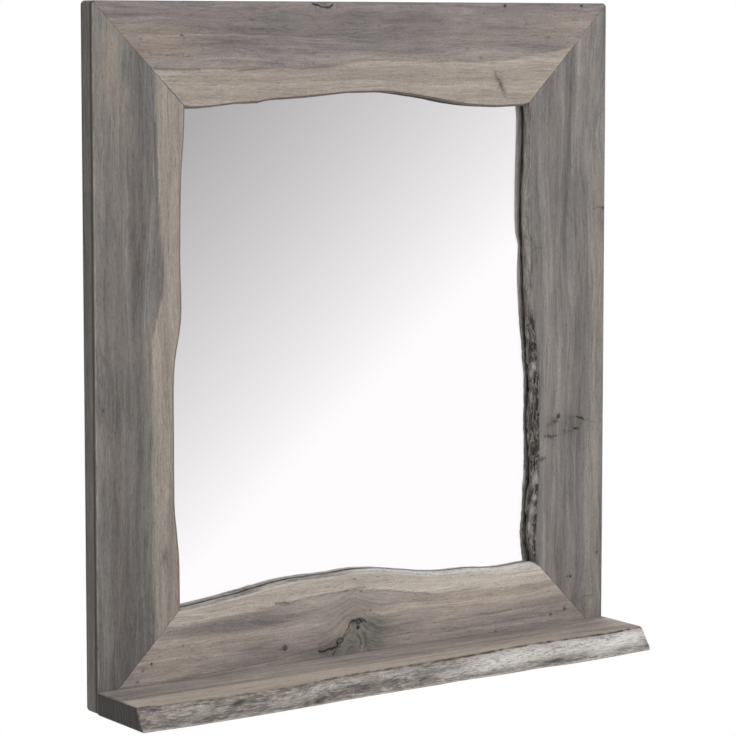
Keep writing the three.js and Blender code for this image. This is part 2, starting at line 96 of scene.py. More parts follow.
BOARDS = {
    "left_stile": Board((LEFT, FACE, FOOT), Z, X, Y),
    "right_stile": Board((RIGHT, FACE, FOOT), Z, -X, Y),
    "top_rail": Board((LEFT, FACE, TOP), X, -Z, Y),
    "bottom_rail": Board((LEFT, FACE, FOOT), X, Z, Y),
    "shelf_board": Board((LEFT, SHELF_BACK, SHELF_TOP), X, -Y, -Z, SHELF_THICKNESS, mitred=False),
}

# ---- what the wood looks like, in each board's own mm ---------------------------------------
# sapwood: points (s, u) of the line where the pale outer wood begins; sap_soft: its half width
# knots: (s, u, half width across, stretch along the grain, swirl inside from 0 to 1)
# stains, tan and cold: soft spots (s, u, half length, half width, strength) that are darker,
# tan, or grey-green where the stain went in deep
# rings: small round eyes (s, u, radius, strength)
# cracks: ([(s, u), ...], width, strength); along the joint of shelf and rail they are painted shade
# silver and hollows: spots on the live edge (s, depth, half length, half width, strength) that
# are rubbed to bare silver-grey wood and lit as painted highlights, or hollow and painted darker as
# shade
# relief: mm that the live edge is rough by; rough: (start, end, mm) where it is rougher
# tuck: mm by which a live edge stands squarer than its solid
# What a board doesn't name, it hasn't got.
LOOKS = {
    "left_stile": {
        "sapwood": [(0, 69), (225, 69.5), (279, 70), (334, 69.5), (399, 69.5), (431, 77),
                    (452, 85), (480, 86), (520, 82), (560, 79.5), (700, 77), (765, 76)],
        "sap_soft": 3.0,
        "knots": [(329, 9.5, 1.2, 2, 1)],
        "stains": [(164, 84, 9, 3.4, 0.5), (600, 60, 120, 12, 0.08), (120, 60, 110, 10, 0.1),
                   (470, 83, 26, 3, 0.2), (150, 94, 120, 22, 0.14), (329, 9.5, 2, 1.5, 0.9),
                   (329, 8, 9, 6, 0.2), (80, 35, 200, 38, 0.28), (384, 12, 5, 1.6, 0.5),
                   (560, 92, 120, 20, 0.06)],
        "tan": [(700, 20, 60, 10, 0.4), (470, 40, 90, 6, 0.2)],
        "cracks": [([(0, 70), (60, 69), (150, 71)], 1.6, 0.25)],
        "silver": [(120, 6, 60, 6, 0.4), (560, 6, 90, 6, 0.5)],
        "relief": 0.45,
    },
    "top_rail": {
        "sapwood": [(0, 73), (75, 73), (180, 73.5), (300, 72), (350, 65), (380, 64.5), (420, 67),
                    (455, 68), (550, 66), (600, 60), (650, 50), (700, 44)],
        "sap_soft": 2.6,
        "knots": [(110, 38, 1.8, 1.6, 1), (56, 41, 1, 2, 1), (57, 46, 1, 1.6, 1),
                  (294, 2, 11, 1.6, 0.7)],
        "stains": [(293, 1, 10, 2, 0.5), (240, 8, 120, 8, 0.12), (110, 37, 2.4, 1.1, 1),
                   (113, 40.5, 1.5, 1, 0.8), (59, 41, 1.6, 1, 0.7), (57, 46.5, 1.6, 0.9, 0.7),
                   (547, 3.6, 1.9, 1.4, 2), (661, 3.2, 1.8, 1.3, 2), (380, 20, 90, 12, 0.1),
                   (611, 40.7, 4, 1.2, 0.6), (493, 53, 2, 1.5, 0.5), (513, 64, 2.2, 1.2, 0.5),
                   (400, 56, 70, 5, 0.12), (225, 12, 42, 14, 0.2), (215, 30, 50, 12, 0.14),
                   (345, 34, 60, 9, 0.14), (541, 93, 4.5, 9, 0.25)],
        "tan": [(84, 46, 42, 15, 0.9), (30, 30, 30, 10, 0.5), (640, 26, 60, 14, 0.6),
                (500, 40, 60, 8, 0.35)],
        "cold": [(235, 22, 45, 16, 0.5), (350, 38, 40, 14, 0.4)],
        "cracks": [([(533, 81), (538, 89), (543, 97), (547, 104)], 4.2, 0.6),
                   ([(70, 57), (92, 58), (112, 57.5)], 2.0, 0.4),
                   ([(76, 72.6), (100, 73.4), (132, 73.3)], 2.0, 0.45),
                   ([(60, 44), (110, 48), (150, 47)], 1.8, 0.22),
                   ([(160, 66), (190, 67), (240, 69)], 2.4, 0.3),
                   ([(160, 27), (200, 30), (262, 32)], 2.2, 0.22),
                   ([(279, 2.5), (287, 4.5), (293, 6.6), (303, 6.2), (305, 3)], 1.7, 1.3),
                   ([(330, 66), (356, 61), (380, 61), (420, 63)], 2, 0.25)],
        "relief": 0.25,
        "tuck": 3.2,
    },
    "right_stile": {
        "sapwood": [(0, 150), (765, 150)],
        "sap_soft": 2,
        "knots": [(275, 71, 6, 1.4, 0.6), (257, 49, 3, 2, 0.5), (267, 38, 4, 2, 0.4),
                  (80, 50, 4, 2.2, 0.4), (48, 26, 13, 1.5, 0.3)],
        "stains": [(275.5, 70, 2.6, 2.6, 1.3), (270.5, 76, 4, 5, 0.7), (266, 84, 3, 5, 0.5),
                   (265, 60, 17, 34, 0.24), (226, 95, 2, 2.5, 0.9), (227, 90, 1.5, 1.5, 0.7),
                   (257, 60, 1.5, 2, 0.6), (258.5, 43, 1.7, 3, 0.9), (80, 50, 1.5, 1.6, 1.6),
                   (80.5, 55, 1.2, 2, 0.7), (105, 9.5, 2, 2, 0.8), (70, 50, 26, 14, 0.12),
                   (50, 43, 10, 4, 0.3), (521, 4, 3, 3, 0.7), (640, 60, 90, 20, 0.06),
                   (455, 113, 12, 4, 0.7), (252, 82, 2.4, 9, 0.4), (271, 36, 1.4, 4, 0.5)],
        "tan": [(150, 18, 140, 12, 0.5), (420, 12, 200, 8, 0.5), (330, 70, 50, 12, 0.3),
                (60, 80, 60, 14, 0.3)],
        "rings": [(226, 95, 2.4, 0.5)],
        "cracks": [([(273, 42), (271, 37), (268.5, 31)], 1.6, 1.3),
                   ([(272, 56), (272, 48), (273, 43)], 1.2, 0.35),
                   ([(268, 30), (266, 22), (264, 14)], 1.4, 0.3),
                   ([(260, 48), (258.5, 43), (258, 39)], 1.2, 0.9),
                   ([(253, 62), (255, 55), (257, 49)], 1.2, 0.5),
                   ([(252, 92), (254, 86), (251, 80), (253, 72)], 1.6, 0.6),
                   ([(501, 119), (492, 114), (484, 110), (477, 109), (471, 110)], 1.3, 0.8),
                   ([(523, 2), (522, 10), (521, 19)], 1.2, 0.5),
                   ([(63, 16.6), (53.5, 14), (52, 32), (47.4, 34.6), (32.6, 28.2)], 1.3, 0.35),
                   ([(478, 109), (477, 98), (478, 90)], 1, 0.35)],
        # painted highlights: white glints on the bark, among bare rubbed wood
        "silver": [(337, 5, 5, 3, 1), (328, 8, 6, 2, 0.8), (300, 9, 12, 2, 0.4),
                   (205, 4, 6, 3, 1.1), (196, 6, 5, 2, 1.2), (180, 3, 4, 2, 1),
                   (165, 5, 6, 2, 0.9), (150, 7, 12, 2, 0.7), (128, 6, 12, 2, 0.5),
                   (560, 7, 120, 4, 0.25)],
        "relief": 0.8,
        "rough": [(95, 400, 2.2)],
    },
    "bottom_rail": {
        "sapwood": [(0, 80), (80, 85), (150, 87), (182, 90), (200, 90), (246, 94), (300, 98),
                    (346, 98), (380, 93), (410, 87), (441, 82.5), (480, 80), (542, 78),
                    (620, 77), (700, 76)],
        "sap_soft": 3.5,
        "knots": [(331, 24, 36, 0.57, 0.55), (240, 43.5, 3.2, 1.3, 1), (487, 88, 3.6, 2.1, 0.8),
                  (246, 95, 2.6, 2.4, 0.3), (107, 63, 0.8, 1.4, 1)],
        "stains": [(335, 42, 18, 22, 0.3), (365, 44, 15, 15, 0.42), (337, 62, 9, 4, 0.6),
                   (298, 40, 17, 9, 0.44), (303, 30, 20, 4, 0.34), (354, 57, 12, 5, 0.34),
                   (345, 40, 55, 20, 0.1), (175, 78, 85, 12, 0.36), (645, 44, 55, 15, 0.3),
                   (240, 43.5, 4, 4, 0.15), (262, 40, 22, 7, 0.16), (225, 36, 30, 8, 0.1),
                   (240, 95, 10, 2.4, 0.6), (337, 100.5, 16, 2.4, 0.5), (344, 96.5, 2, 1, 0.8),
                   (487, 88, 8, 3.6, 0.16), (537, 26, 2.2, 1.6, 1), (620, 37, 2.6, 2, 0.6),
                   (641, 42, 2.2, 2.4, 0.7), (107, 63, 1.4, 1.6, 0.6), (67, 48, 1.4, 2.4, 0.9),
                   (56, 42, 1.4, 1.8, 0.9), (49, 30, 1.4, 2, 0.8), (339.5, 55.2, 2.3, 1.9, 2),
                   (333, 62.8, 2, 1.4, 1.2), (345, 62, 1.8, 1.4, 1), (350, 74, 6, 1, 0.4),
                   (357, 72.8, 2, 1.1, 0.7), (335, 112, 2, 1.2, 0.6), (312, 40, 2.4, 3, 0.6)],
        "tan": [(90, 52, 60, 22, 0.8), (318, 57, 18, 7, 0.6), (510, 72, 95, 10, 0.9),
                (560, 60, 120, 12, 0.4), (445, 44, 60, 13, 0.45),
                (390, 72, 40, 9, 0.6), (200, 62, 50, 8, 0.4)],
        "cold": [(335, 44, 30, 22, 0.9), (372, 44, 22, 16, 0.6), (285, 36, 30, 10, 0.5)],
        "rings": [(240, 43.5, 2.3, 0.95), (240, 43.5, 0.3, 0.5), (340.5, 61.5, 2.2, 0.9),
                  (314, 37.5, 2, 0.6), (317, 42.5, 1.8, 0.5), (380, 106, 2, 0.3)],
        "cracks": [([(287, 33.5), (298, 34.4), (309.6, 35.4)], 2.0, 1.3),
                   ([(309.6, 35), (308, 31), (305.4, 26.5)], 1.5, 0.9),
                   ([(309.6, 35), (311, 38), (311, 42.6), (315, 45), (319, 46), (324, 54),
                     (331.5, 63.4), (338.9, 65.3), (345.3, 64.6), (350.5, 59.6)], 1.5, 0.85),
                   ([(315, 40), (322, 47), (328, 54)], 1.4, 0.5),
                   ([(343, 31), (344, 37), (342.5, 43), (338, 48)], 2.4, 0.45),
                   ([(350, 32), (351, 40), (348, 48)], 2.4, 0.3),
                   ([(30, 24), (90, 26), (160, 28), (230, 31)], 1.4, 0.3),
                   ([(228, 95.6), (248, 94), (262, 96.5), (301, 98.8), (326, 98.7)], 1.8, 0.5),
                   ([(358, 97), (377, 94.5), (408, 88), (440, 83)], 1.6, 0.35),
                   ([(380, 46), (440, 47), (520, 49), (560, 50)], 2.2, 0.24),
                   ([(440, 34), (500, 36), (570, 36), (620, 38)], 2.0, 0.22),
                   # these two lines are painted shade where the shelf meets the rail
                   ([(0, 25.6), (150, 25.6)], 1.6, 0.3), ([(140, 25.6), (700, 25.6)], 1.8, 0.12)],
        # painted light: the live edge lightened towards its right end, where the right stile shades
        # it, and white highlights along it
        "silver": [(470, 6, 110, 7, 1.7), (590, 6, 60, 9, 1.4), (110, 6, 50, 5, 0.5),
                   (225, 4, 16, 4, 0.9), (350, 5, 40, 5, 0.6)],
        "relief": 0.5,
        "rough": [(170, 215, 1.2), (520, 600, 0.9)],
    },
    "shelf_board": {
        "sapwood": [(0, 52), (120, 50), (300, 54), (420, 52), (540, 52), (620, 60), (700, 74)],
        "sap_soft": 2.2,
        "knots": [(120, 96, 5, 1.6, 0.4), (221, 98, 5, 1.6, 0.4)],
        "stains": [(120, 45, 120, 2, 0.25), (680, 76, 26, 8, 0.3)],
        "tan": [(200, 62, 200, 10, 0.5), (520, 60, 110, 8, 0.6), (620, 30, 90, 18, 0.25)],
        "cracks": [([(0, 45), (90, 47), (190, 50)], 1.8, 0.4),
                   ([(0, 30), (90, 29), (220, 32)], 2.2, 0.22),
                   ([(250, 40), (420, 38), (600, 36)], 2.0, 0.25),
                   ([(300, 22), (480, 20), (660, 24)], 2.4, 0.25),
                   # these two lines are painted shade along the back of the shelf's top, where it
                   # meets the rail
                   ([(0, 0.6), (160, 0.6)], 2.4, 0.55), ([(150, 0.6), (700, 0.6)], 2.4, 0.22)],
        # bare silver-grey wood on the shelf's rough front, partly painted highlights
        "silver": [(520, 9, 44, 9, 1), (462, 12, 34, 8, 0.9), (585, 8, 34, 7, 0.9),
                   (640, 12, 40, 10, 1), (680, 8, 26, 8, 1), (410, 13, 30, 6, 0.5),
                   (330, 7, 40, 4, 0.45), (240, 8, 40, 4, 0.4), (180, 14, 40, 5, 0.3),
                   (60, 9, 40, 6, 0.25)],
        "hollows": [(120, 9, 8, 3.5, 0.9), (112, 11, 5, 2, 0.5), (221, 21, 6, 2.6, 0.8),
                    (229, 19, 5, 2, 0.7), (151, 17, 5, 2, 0.4), (107, 18, 8, 2, 0.4),
                    (271, 12, 8, 2, 0.45), (203, 23, 5, 2, 0.6), (560, 20, 13, 2, 0.6),
                    (395, 10, 30, 1.4, 0.4), (300, 15, 50, 5, 0.25), (470, 22, 30, 2, 0.35),
                    (660, 18, 14, 3, 0.4)],
        "relief": 0.8,
        "rough": [(0, 700, 1.0)],
    },
}


@dataclass
class Wood:
    """One board's stained wood: colours run from dark to pale; wear, highlights and painted shade
    run from 0 to 1
    """

    seed: float                # of its pattern
    pith: tuple                # (u, depth) where its year rings centre
    heartwood: tuple
    sapwood: tuple
    smooth_edge: tuple = ("#6e6964", "#8e8882", "#a8a29b", "#c8c2bc")
    rough_edge: tuple = ("#1a1714", "#302d2b", "#524d49", "#9d9792")
    swirl: float = 9           # mm by which the live edge's grain wanders
    wear: float = 0            # how far the outer arris is rubbed pale
    arris_shade: float = 0            # how much painted shade lies where the outer arris turns into the side
    lip_wear_and_highlight: float = 0        # how far the live arris is rubbed pale, partly a painted highlight
    # how much painted shade darkens the live arris
    lip_shade: float = 0


SHELF_EDGE = ("#443f3b", "#77706b", "#9a928b", "#cac4be")
# live-edge colours for the top rail, darkened as painted shade for the underside of the rail
PAINTED_SHADE_EDGE = ("#3b3531", "#544d47", "#6e665f", "#8d857d")
WOODS = {
    # the bottom rail's colours: paler wood, lightened further to make up for the weaker light low
    # on the frame, which is painted light
    "bottom_rail": Wood(3.7, (-70, 50), ("#766f6c", "#8b827f", "#9b918d", "#b2a89f"),
                        ("#a3988e", "#b8aea4", "#cac1b7"), arris_shade=0.5, lip_wear_and_highlight=0.6),
    "left_stile": Wood(7.4, (-60, 70), ("#5a5653", "#6b6663", "#777370", "#88837f"),
                       ("#837a72", "#958c83", "#a79e94"), wear=0.6, arris_shade=0.9, lip_shade=0.6),
    "right_stile": Wood(11.1, (-30, 55), ("#605c5a", "#706b69", "#7f7a77", "#948f8b"),
                        ("#857e78", "#928c86", "#a19a94"), swirl=24, arris_shade=0.6, lip_shade=0.3),
    "shelf_board": Wood(14.8, (-30, 80), ("#7a726e", "#928985", "#a39a95", "#b8ada4"),
                        ("#a09589", "#b4a89c", "#c7bbae"), SHELF_EDGE, SHELF_EDGE),
    "top_rail": Wood(18.5, (-40, -60), ("#6a6361", "#7a7270", "#89807f", "#9d938b"),
                     ("#8d837a", "#9f948a", "#afa499"), PAINTED_SHADE_EDGE, arris_shade=0.5, lip_shade=0.8),
}
END_PITH = (-110, 45)          # the year rings' centre as seen on the shelf's sawn ends


def look_of(name):
    """A board's look, with nothing in the place of what it doesn't name"""
    nothing = {"rings": [], "rough": [], "cold": [], "silver": [], "hollows": [], "tuck": 0}
    return {**nothing, **LOOKS[name]}


# ---- numbers for the wood --------------------------------------------------------------------

def eased(values, low, high):
    """0 below low, 1 above high and smooth between"""
    t = np.clip((values - low) / (high - low), 0, 1)
    return t * t * (3 - 2 * t)


def faded(distance, width):
    """1 at no distance, falling softly to 0 on both sides"""
    return np.exp(-(distance / width) ** 2)


def soft_noise(points, seed):
    """Smooth values from -1 to 1 that turn about once for each unit of the points"""
    size = 32
    table = np.random.default_rng(seed).uniform(-1, 1, (size, size, size))
    cell = np.floor(points).astype(int)
    t = points - cell
    t = t * t * (3 - 2 * t)
    total = np.zeros(len(points))
    for corner in itertools.product((0, 1), repeat=3):
        weight = np.prod(np.where(corner, t, 1 - t), axis=1)
        total += weight * table[tuple(((cell + corner) % size).T)]
    return total


def rough_noise(points, seed, octaves=3):
    """Several soft noises, each half as strong and twice as fine as the one before"""
    layers = [soft_noise(points * 2 ** k, seed + k) / 2 ** k for k in range(octaves)]
    return sum(layers)


def stacked(*columns):
    """Points made of one column for each axis, from arrays and single numbers"""
    return np.stack(np.broadcast_arrays(*columns), 1).astype(float)


def distance_to_line(points, line):
    """Least distance in mm from each point to a chain of straight lines"""
    least = np.full(len(points), np.inf)
    for start, end in itertools.pairwise(np.array(line, float)):
        way = end - start
        share = np.clip((points - start) @ way / (way @ way), 0, 1)
        least = np.minimum(least, np.linalg.norm(points - start - share[:, None] * way, axis=1))
    return least


def blot(points, blots):
    """Sum of soft round spots, each (s, u, half length, half width, strength)"""
    total = np.zeros(len(points))
    for s, u, half_length, half_width, strength in blots:
        offset = (points - (s, u)) / (half_length, half_width)
        total += strength * np.exp(-np.sum(offset ** 2, axis=1))
    return total


def bent_grain(local, knots):
    """The across-grain coordinate, pushed aside round each knot and turned to rings inside it"""
    across = local[:, 1].copy()
    for s, u, half_width, stretch, swirl in knots:
        ds, du = (local[:, 0] - s) / stretch, local[:, 1] - u
        wander = rough_noise(stacked(ds, du, 0) / half_width + 0.4, 31)
        radius = np.hypot(ds, du) * (1 + 0.2 * wander) + 1e-6
        near = eased(-radius, -2.8 * half_width, -half_width)
        outside = radius > half_width
        pushed = np.where(outside, (half_width / radius) ** 2, radius / half_width)
        across -= 0.65 * du * np.minimum(pushed, 1) * near * np.where(outside, 1, 0.6)
        inside = eased(-radius, -half_width, -0.7 * half_width) * swirl
        across = across * (1 - inside) + (u + 0.9 * radius) * inside
    return across


# ---- meshes ----------------------------------------------------------------------------------

def merged_solid(name):
    """A CAD piece as a bmesh, with its doubles merged and its flat faces whole again"""
    bm = bmesh.new()
    bm.from_mesh(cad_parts[name].data)
    bmesh.ops.remove_doubles(bm, verts=bm.verts, dist=1e-6)
    bmesh.ops.dissolve_limit(bm, angle_limit=math.radians(0.3), verts=bm.verts, edges=bm.edges)
    return bm


def mesh_from(bm, name):
    """A new mesh out of a bmesh, which is freed"""
    mesh = bpy.data.meshes.new(name)
    bm.to_mesh(mesh)
    bm.free()
    return mesh


def shade_smooth(bm, sharp_angle):
    """Shades a mesh smooth but for its edges above an angle"""
    for edge in bm.edges:
        edge.smooth = edge.calc_face_angle(0) < sharp_angle
    for face in bm.faces:
        face.smooth = True


def slice_faces(faces, bm, board, axis, places):
    """Cuts faces by planes square to one axis of a board, at places in mm"""
    normal = Vector(board.axes[axis])

    def row(face):
        levels = [v.co.dot(normal) for v in face.verts]
        return min(levels), max(levels), face

    rows = [row(face) for face in faces]
    slack = 2e-6
    for place in places:
        point = Vector(board.world(place * np.eye(3)[axis]))
        level = point.dot(normal)
        hit = [r[2] for r in rows if r[0] < level - slack and r[1] > level + slack]
        rows = [r for r in rows if r[0] >= level - slack]
        if not hit:
            continue
        geometry = set(hit)
        for face in hit:
            geometry.update(face.edges)
            geometry.update(face.verts)
        done = bmesh.ops.bisect_plane(bm, geom=list(geometry), dist=1e-7, plane_co=point,
                                      plane_no=normal)
        cut = [row(f) for f in done["geom"] if isinstance(f, bmesh.types.BMFace)]
        rows += [r for r in cut if r[1] > level + slack]


def deepest(face, board):
    """How far a face reaches below the board's face, in mm"""
    return board.local([v.co for v in face.verts])[:, 2].max()


def mean_across(face, board):
    return board.local([face.calc_center_median()])[0, 1]


def points_along(face, board, axis):
    """How far a face looks along one axis of its board, from 0 to 1"""
    return abs(face.normal.dot(Vector(board.axes[axis])))


def dense_board(name, step):
    """A board's solid, cut fine on its face, its live edge and beside its outer edge's lines"""
    board = BOARDS[name]
    live = board.live_depth
    bm = merged_solid(name)
    length, width, thickness = board.local([v.co for v in bm.verts]).max(axis=0)
    front = [f for f in bm.faces if deepest(f, board) < live + LEVEL]
    slice_faces(front, bm, board, 0, np.arange(step, length, step))
    flat = [f for f in bm.faces if deepest(f, board) < LEVEL]
    slice_faces(flat, bm, board, 1, np.arange(step, width, step))
    lip = [f for f in bm.faces if 2 * LEVEL < deepest(f, board) < live + LEVEL
           and points_along(f, board, 2) < 0.97 and mean_across(f, board) > width / 2]
    lip_step = 1.2
    slice_faces(lip, bm, board, 2, np.arange(lip_step, live, lip_step))
    sides = [f for f in bm.faces if points_along(f, board, 1) > 0.99
             and mean_across(f, board) < 0.1]
    back_line = thickness - BACK_LINE
    slice_faces(sides, bm, board, 2,
                (FRONT_LINE, FRONT_LINE + LINE_FADE, back_line - LINE_FADE, back_line))
    refine_patches(bm, board, look_of(name))
    bm.normal_update()
    shade_smooth(bm, math.radians(35))
    return bm


def refine_patches(bm, board, look):
    """Halves the mesh again round knots and cracks, and where the live edge is rough"""

    def halve(near_marks, rounds):
        for _ in range(rounds):
            local = board.local([v.co for v in bm.verts])
            near = near_marks(local)
            bm.verts.index_update()
            edges = [e for e in bm.edges if near[e.verts[0].index] and near[e.verts[1].index]]
            bmesh.ops.subdivide_edges(bm, edges=edges, cuts=1, use_grid_fill=True)

    def by_marks(local):
        plane, margin = local[:, :2], 2
        near = np.zeros(len(local), bool)
        for s, u, half_width, stretch, _ in look["knots"]:
            away = np.hypot((plane[:, 0] - s) / stretch, plane[:, 1] - u)
            near |= away < 1.2 * half_width + margin
        for line, width, _ in look["cracks"]:
            near |= distance_to_line(plane, line) < width + 0.75 * margin
        for s, u, half_length, half_width, strength in look["stains"]:
            if half_width < 4 and strength > 0.3:
                offset = abs(plane - (s, u)) - (half_length, half_width)
                near |= offset.max(axis=1) < margin
        return near & (local[:, 2] < LEVEL)

    def by_roughness(local):
        near = np.zeros(len(local), bool)
        for start, end, _ in look["rough"]:
            near |= (local[:, 0] > start) & (local[:, 0] < end)
        lip_width = 34
        near &= (local[:, 1] > local[:, 1].max() - lip_width) & (local[:, 2] > LEVEL)
        return near & (local[:, 2] < board.live_depth + LEVEL)

    halve(by_marks, 2)
    halve(by_roughness, 1)


def furthest(local, depth, slack=0.05, reach=30):
    """The live edge's line at one depth: stations, and the furthest u at each"""
    level = local[abs(local[:, 2] - depth) < slack]
    level = level[level[:, 1] > level[:, 1].max() - reach]
    stations = np.round(level[:, 0], 1)
    places = np.unique(stations)
    return places, np.array([level[stations == s, 1].max() for s in places])


def live_edge(name, local):
    """For each point of a board: if it is live edge, how far it lies behind the edge's line,
    how rough it is there, the height of its relief, and how far it is moved, all in mm"""
    board, look = BOARDS[name], look_of(name)
    live = board.live_depth
    s, u, d = local.T
    face_line = np.interp(s, *furthest(local, 0))
    seat_line = np.interp(s, *furthest(local, live))
    behind = face_line + (seat_line - face_line) * np.clip(d / live, 0, 1) - u
    in_front = d < live + 2 * LEVEL
    on_edge = (d > LEVEL) & in_front & (behind < LIVE_REACH)
    weight = np.where(on_edge, eased(-behind, -LIVE_REACH, -4), eased(-behind, -9, 0)) * in_front
    if board.mitred:
        # no relief at the mitres, where two edges meet
        from_mitre = np.minimum(s, local[:, 0].max() - s) - u
        weight *= eased(from_mitre, 0.5, 9)
    roughness = np.full(len(s), look["relief"])
    fade = 15
    for start, end, rough in look["rough"]:
        inside = eased(s, start - fade, start + fade) * eased(-s, -end - fade, -end + fade)
        roughness += (rough - look["relief"]) * inside
    # waves of the outline, folds and sharp ridges, each by its length and depth in mm
    seed = sorted(BOARDS).index(name) * 20
    outline = soft_noise(stacked(s / 17, 0, 0.5), seed)
    folds = rough_noise(stacked(s / 26, d / 3.6, 7.5), seed + 5)
    ridges = 1 - 2 * abs(rough_noise(stacked(s / 14, d / 5, 3.5), seed + 9))
    height = roughness * (0.35 * outline + 0.5 * folds + 0.45 * ridges * (roughness > 1))
    if board.mitred:
        # next to the face the edge was eased by hand
        height *= 0.3 + 0.7 * eased(d, 0.5, 4)
    height += look["tuck"] * (0.5 - d / live)
    hollow_depth = 1.2
    height -= hollow_depth * blot(stacked(s, d), look["hollows"])
    return SimpleNamespace(on_edge=on_edge, behind=behind, roughness=roughness, height=height,
                           moved=height * weight)


def wood_fields(name, local, edge):
    """Attributes that the wood's material reads, and how far the face is dented, in mm"""
    board, look = BOARDS[name], look_of(name)
    s, u, d = local.T
    plane, front = local[:, :2], stacked(s, d)
    face = eased(-d, -2.5, -0.5)
    ring_width, line_width, wander = 0.75, 1.1, 1.1
    stain = blot(plane, look["stains"])
    for ring_s, ring_u, radius, strength in look["rings"]:
        stain += strength * faded(np.hypot(s - ring_s, u - ring_u) - radius, ring_width)
    crack = np.zeros(len(s))
    wandered = plane + wander * small_steps(plane)
    for points, width, strength in look["cracks"]:
        away = distance_to_line(wandered, points)
        crack = np.maximum(crack, strength * np.clip(1 - away / width, 0, 1))
    thickness = d.max()
    # painted shade: dark lines along the front and back arrises of a board's outer side
    outer_side = (u < 0.3) * (d > FRONT_LINE - 1.5)
    from_line = np.minimum(abs(d - FRONT_LINE), abs(thickness - BACK_LINE - d))
    dark = (stain + crack) * face + outer_side * 0.5 * faded(from_line, line_width)
    # painted shade: the hollows of the live edge are coloured darker
    dark += edge.on_edge * blot(front, look["hollows"])
    # pale: tan stain on the face; on the live edge bare wood and painted highlights
    pale = blot(plane, look["tan"]) * face + edge.on_edge * blot(front, look["silver"])
    rough = eased(edge.roughness, 0.8, 2.2)
    if board.mitred:
        # painted light: the rough colouring halved next to the glass, to lighten the deep corner
        # where shade falls
        rough *= 1 - 0.5 * eased(d, 9, 11.5)
    else:
        # stain along the shelf's upper arris, and wood rubbed pale along its lower one
        rim = faded(d - 1, 0.8) * (edge.behind < 1.5) * (0.35 + 0.6 * eased(s, 200, 420))
        dark += rim * (0.85 + 0.6 * soft_noise(stacked(s / 6, 0, 0), 90))
        pale += edge.on_edge * 0.5 * faded(d - thickness + 1.2, 0.9)
    fields = {
        "grain": stacked(s, np.where(face > 0.5, bent_grain(local, look["knots"]), u), d),
        "sapwood": u - np.interp(s, *zip(*look["sapwood"])),
        "dark": dark,
        "pale": pale,
        "cold": blot(plane, look["cold"]) * face,
        "behind": edge.behind,
        "live": edge.on_edge.astype(float),
        "rough": rough,
        "height": edge.height,
    }
    dents = 0.9 * np.clip(crack, 0, 1) + 0.5 * np.clip(stain - 0.5, 0, 1)
    return fields, dents * eased(-d, -2 * LEVEL, 0) * (edge.behind > 1)


def small_steps(plane):
    """Small sideways steps that keep a drawn crack from running true, in mm"""
    flat = stacked(*(plane / 3.5).T, 0.5)
    return stacked(soft_noise(flat, 71), soft_noise(flat, 72))


def board_piece(name):
    """The finished mesh of a board, with its attributes, in place of its solid"""
    board = BOARDS[name]
    mesh = mesh_from(dense_board(name, settings().mesh_step / MM), name + "_wood")
    points = np.empty(len(mesh.vertices) * 3)
    mesh.vertices.foreach_get("co", points)
    local = board.local(points.reshape(-1, 3))
    edge = live_edge(name, local)
    fields, dents = wood_fields(name, local, edge)
    shaped = local + stacked(0, edge.moved, dents)
    mesh.vertices.foreach_set("co", board.world(shaped).ravel())
    for key, values in fields.items():
        kind, field = ("FLOAT_VECTOR", "vector") if values.ndim == 2 else ("FLOAT", "value")
        attribute = mesh.attributes.new(key, kind, "POINT")
        attribute.data.foreach_set(field, values.ravel())
    mesh.update()
    return new_object(name + "_wood", mesh)


def new_object(name, data):
    added = bpy.data.objects.new(name, data)
    bpy.context.scene.collection.objects.link(added)
    return added


def finish_piece(piece, slot, nodes, *materials):
    """Gives a piece its materials and body, and lets it stand for its CAD nodes"""
    for material in materials:
        piece.data.materials.append(material)
    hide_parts(*nodes)
    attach(piece, "root")


# ---- materials -------------------------------------------------------------------------------

MATH, VECTOR, RANGE = "ShaderNodeMath", "ShaderNodeVectorMath", "ShaderNodeMapRange"
MIX, RAMP = "ShaderNodeMix", "ShaderNodeValToRGB"
BLENDED = {"data_type": "RGBA"}            # a mix of two colours
TINTED = {"data_type": "RGBA", "blend_type": "MULTIPLY"}       # one colour times the other
EDGE_LEVELS = (0.28, 0.44, 0.58, 0.74)     # of the live edge's height, for its four colours
GRAIN_DEPTH = 0.6                          # mm from the ridges of the fibres to the pores


def linear(colour):
    """A hex colour as it is written on screen, as linear red, green, blue and alpha"""
    parts = [int(colour[k:k + 2], 16) / 255 for k in (1, 3, 5)]
    return [c / 12.92 if c <= 0.04045 else ((c + 0.055) / 1.055) ** 2.4 for c in parts] + [1]


def add_node(tree, kind, inputs=(), stops=(), **settings):
    """Adds a node and sets its inputs, by name or in the order of those in use. Each is a value,
    or a socket or a node to link from; a node stands for its first output in use. The stops
    (place, colour) fill a colour ramp."""
    node = tree.nodes.new(kind)
    for key, value in settings.items():
        setattr(node, key, value)
    if isinstance(inputs, dict):
        pairs = [(node.inputs[key], value) for key, value in inputs.items()]
    else:
        pairs = zip([socket for socket in node.inputs if socket.enabled], inputs)
    for socket, value in pairs:
        if isinstance(value, bpy.types.Node):
            value = next(output for output in value.outputs if output.enabled)
        if isinstance(value, bpy.types.NodeSocket):
            tree.links.new(value, socket)
        else:
            socket.default_value = value
    for k, (place, colour) in enumerate(stops):
        elements = node.color_ramp.elements
        if k == 0:
            elements.remove(elements[1])
        element = elements.new(place) if k else elements[0]
        element.position = place
        element.color = linear(colour)
    return node


def new_material(name):
    """An empty material, and the function that adds nodes to it"""
    material = bpy.data.materials.new(name)
    material.use_nodes = True
    material.node_tree.nodes.clear()
    return material, partial(add_node, material.node_tree)


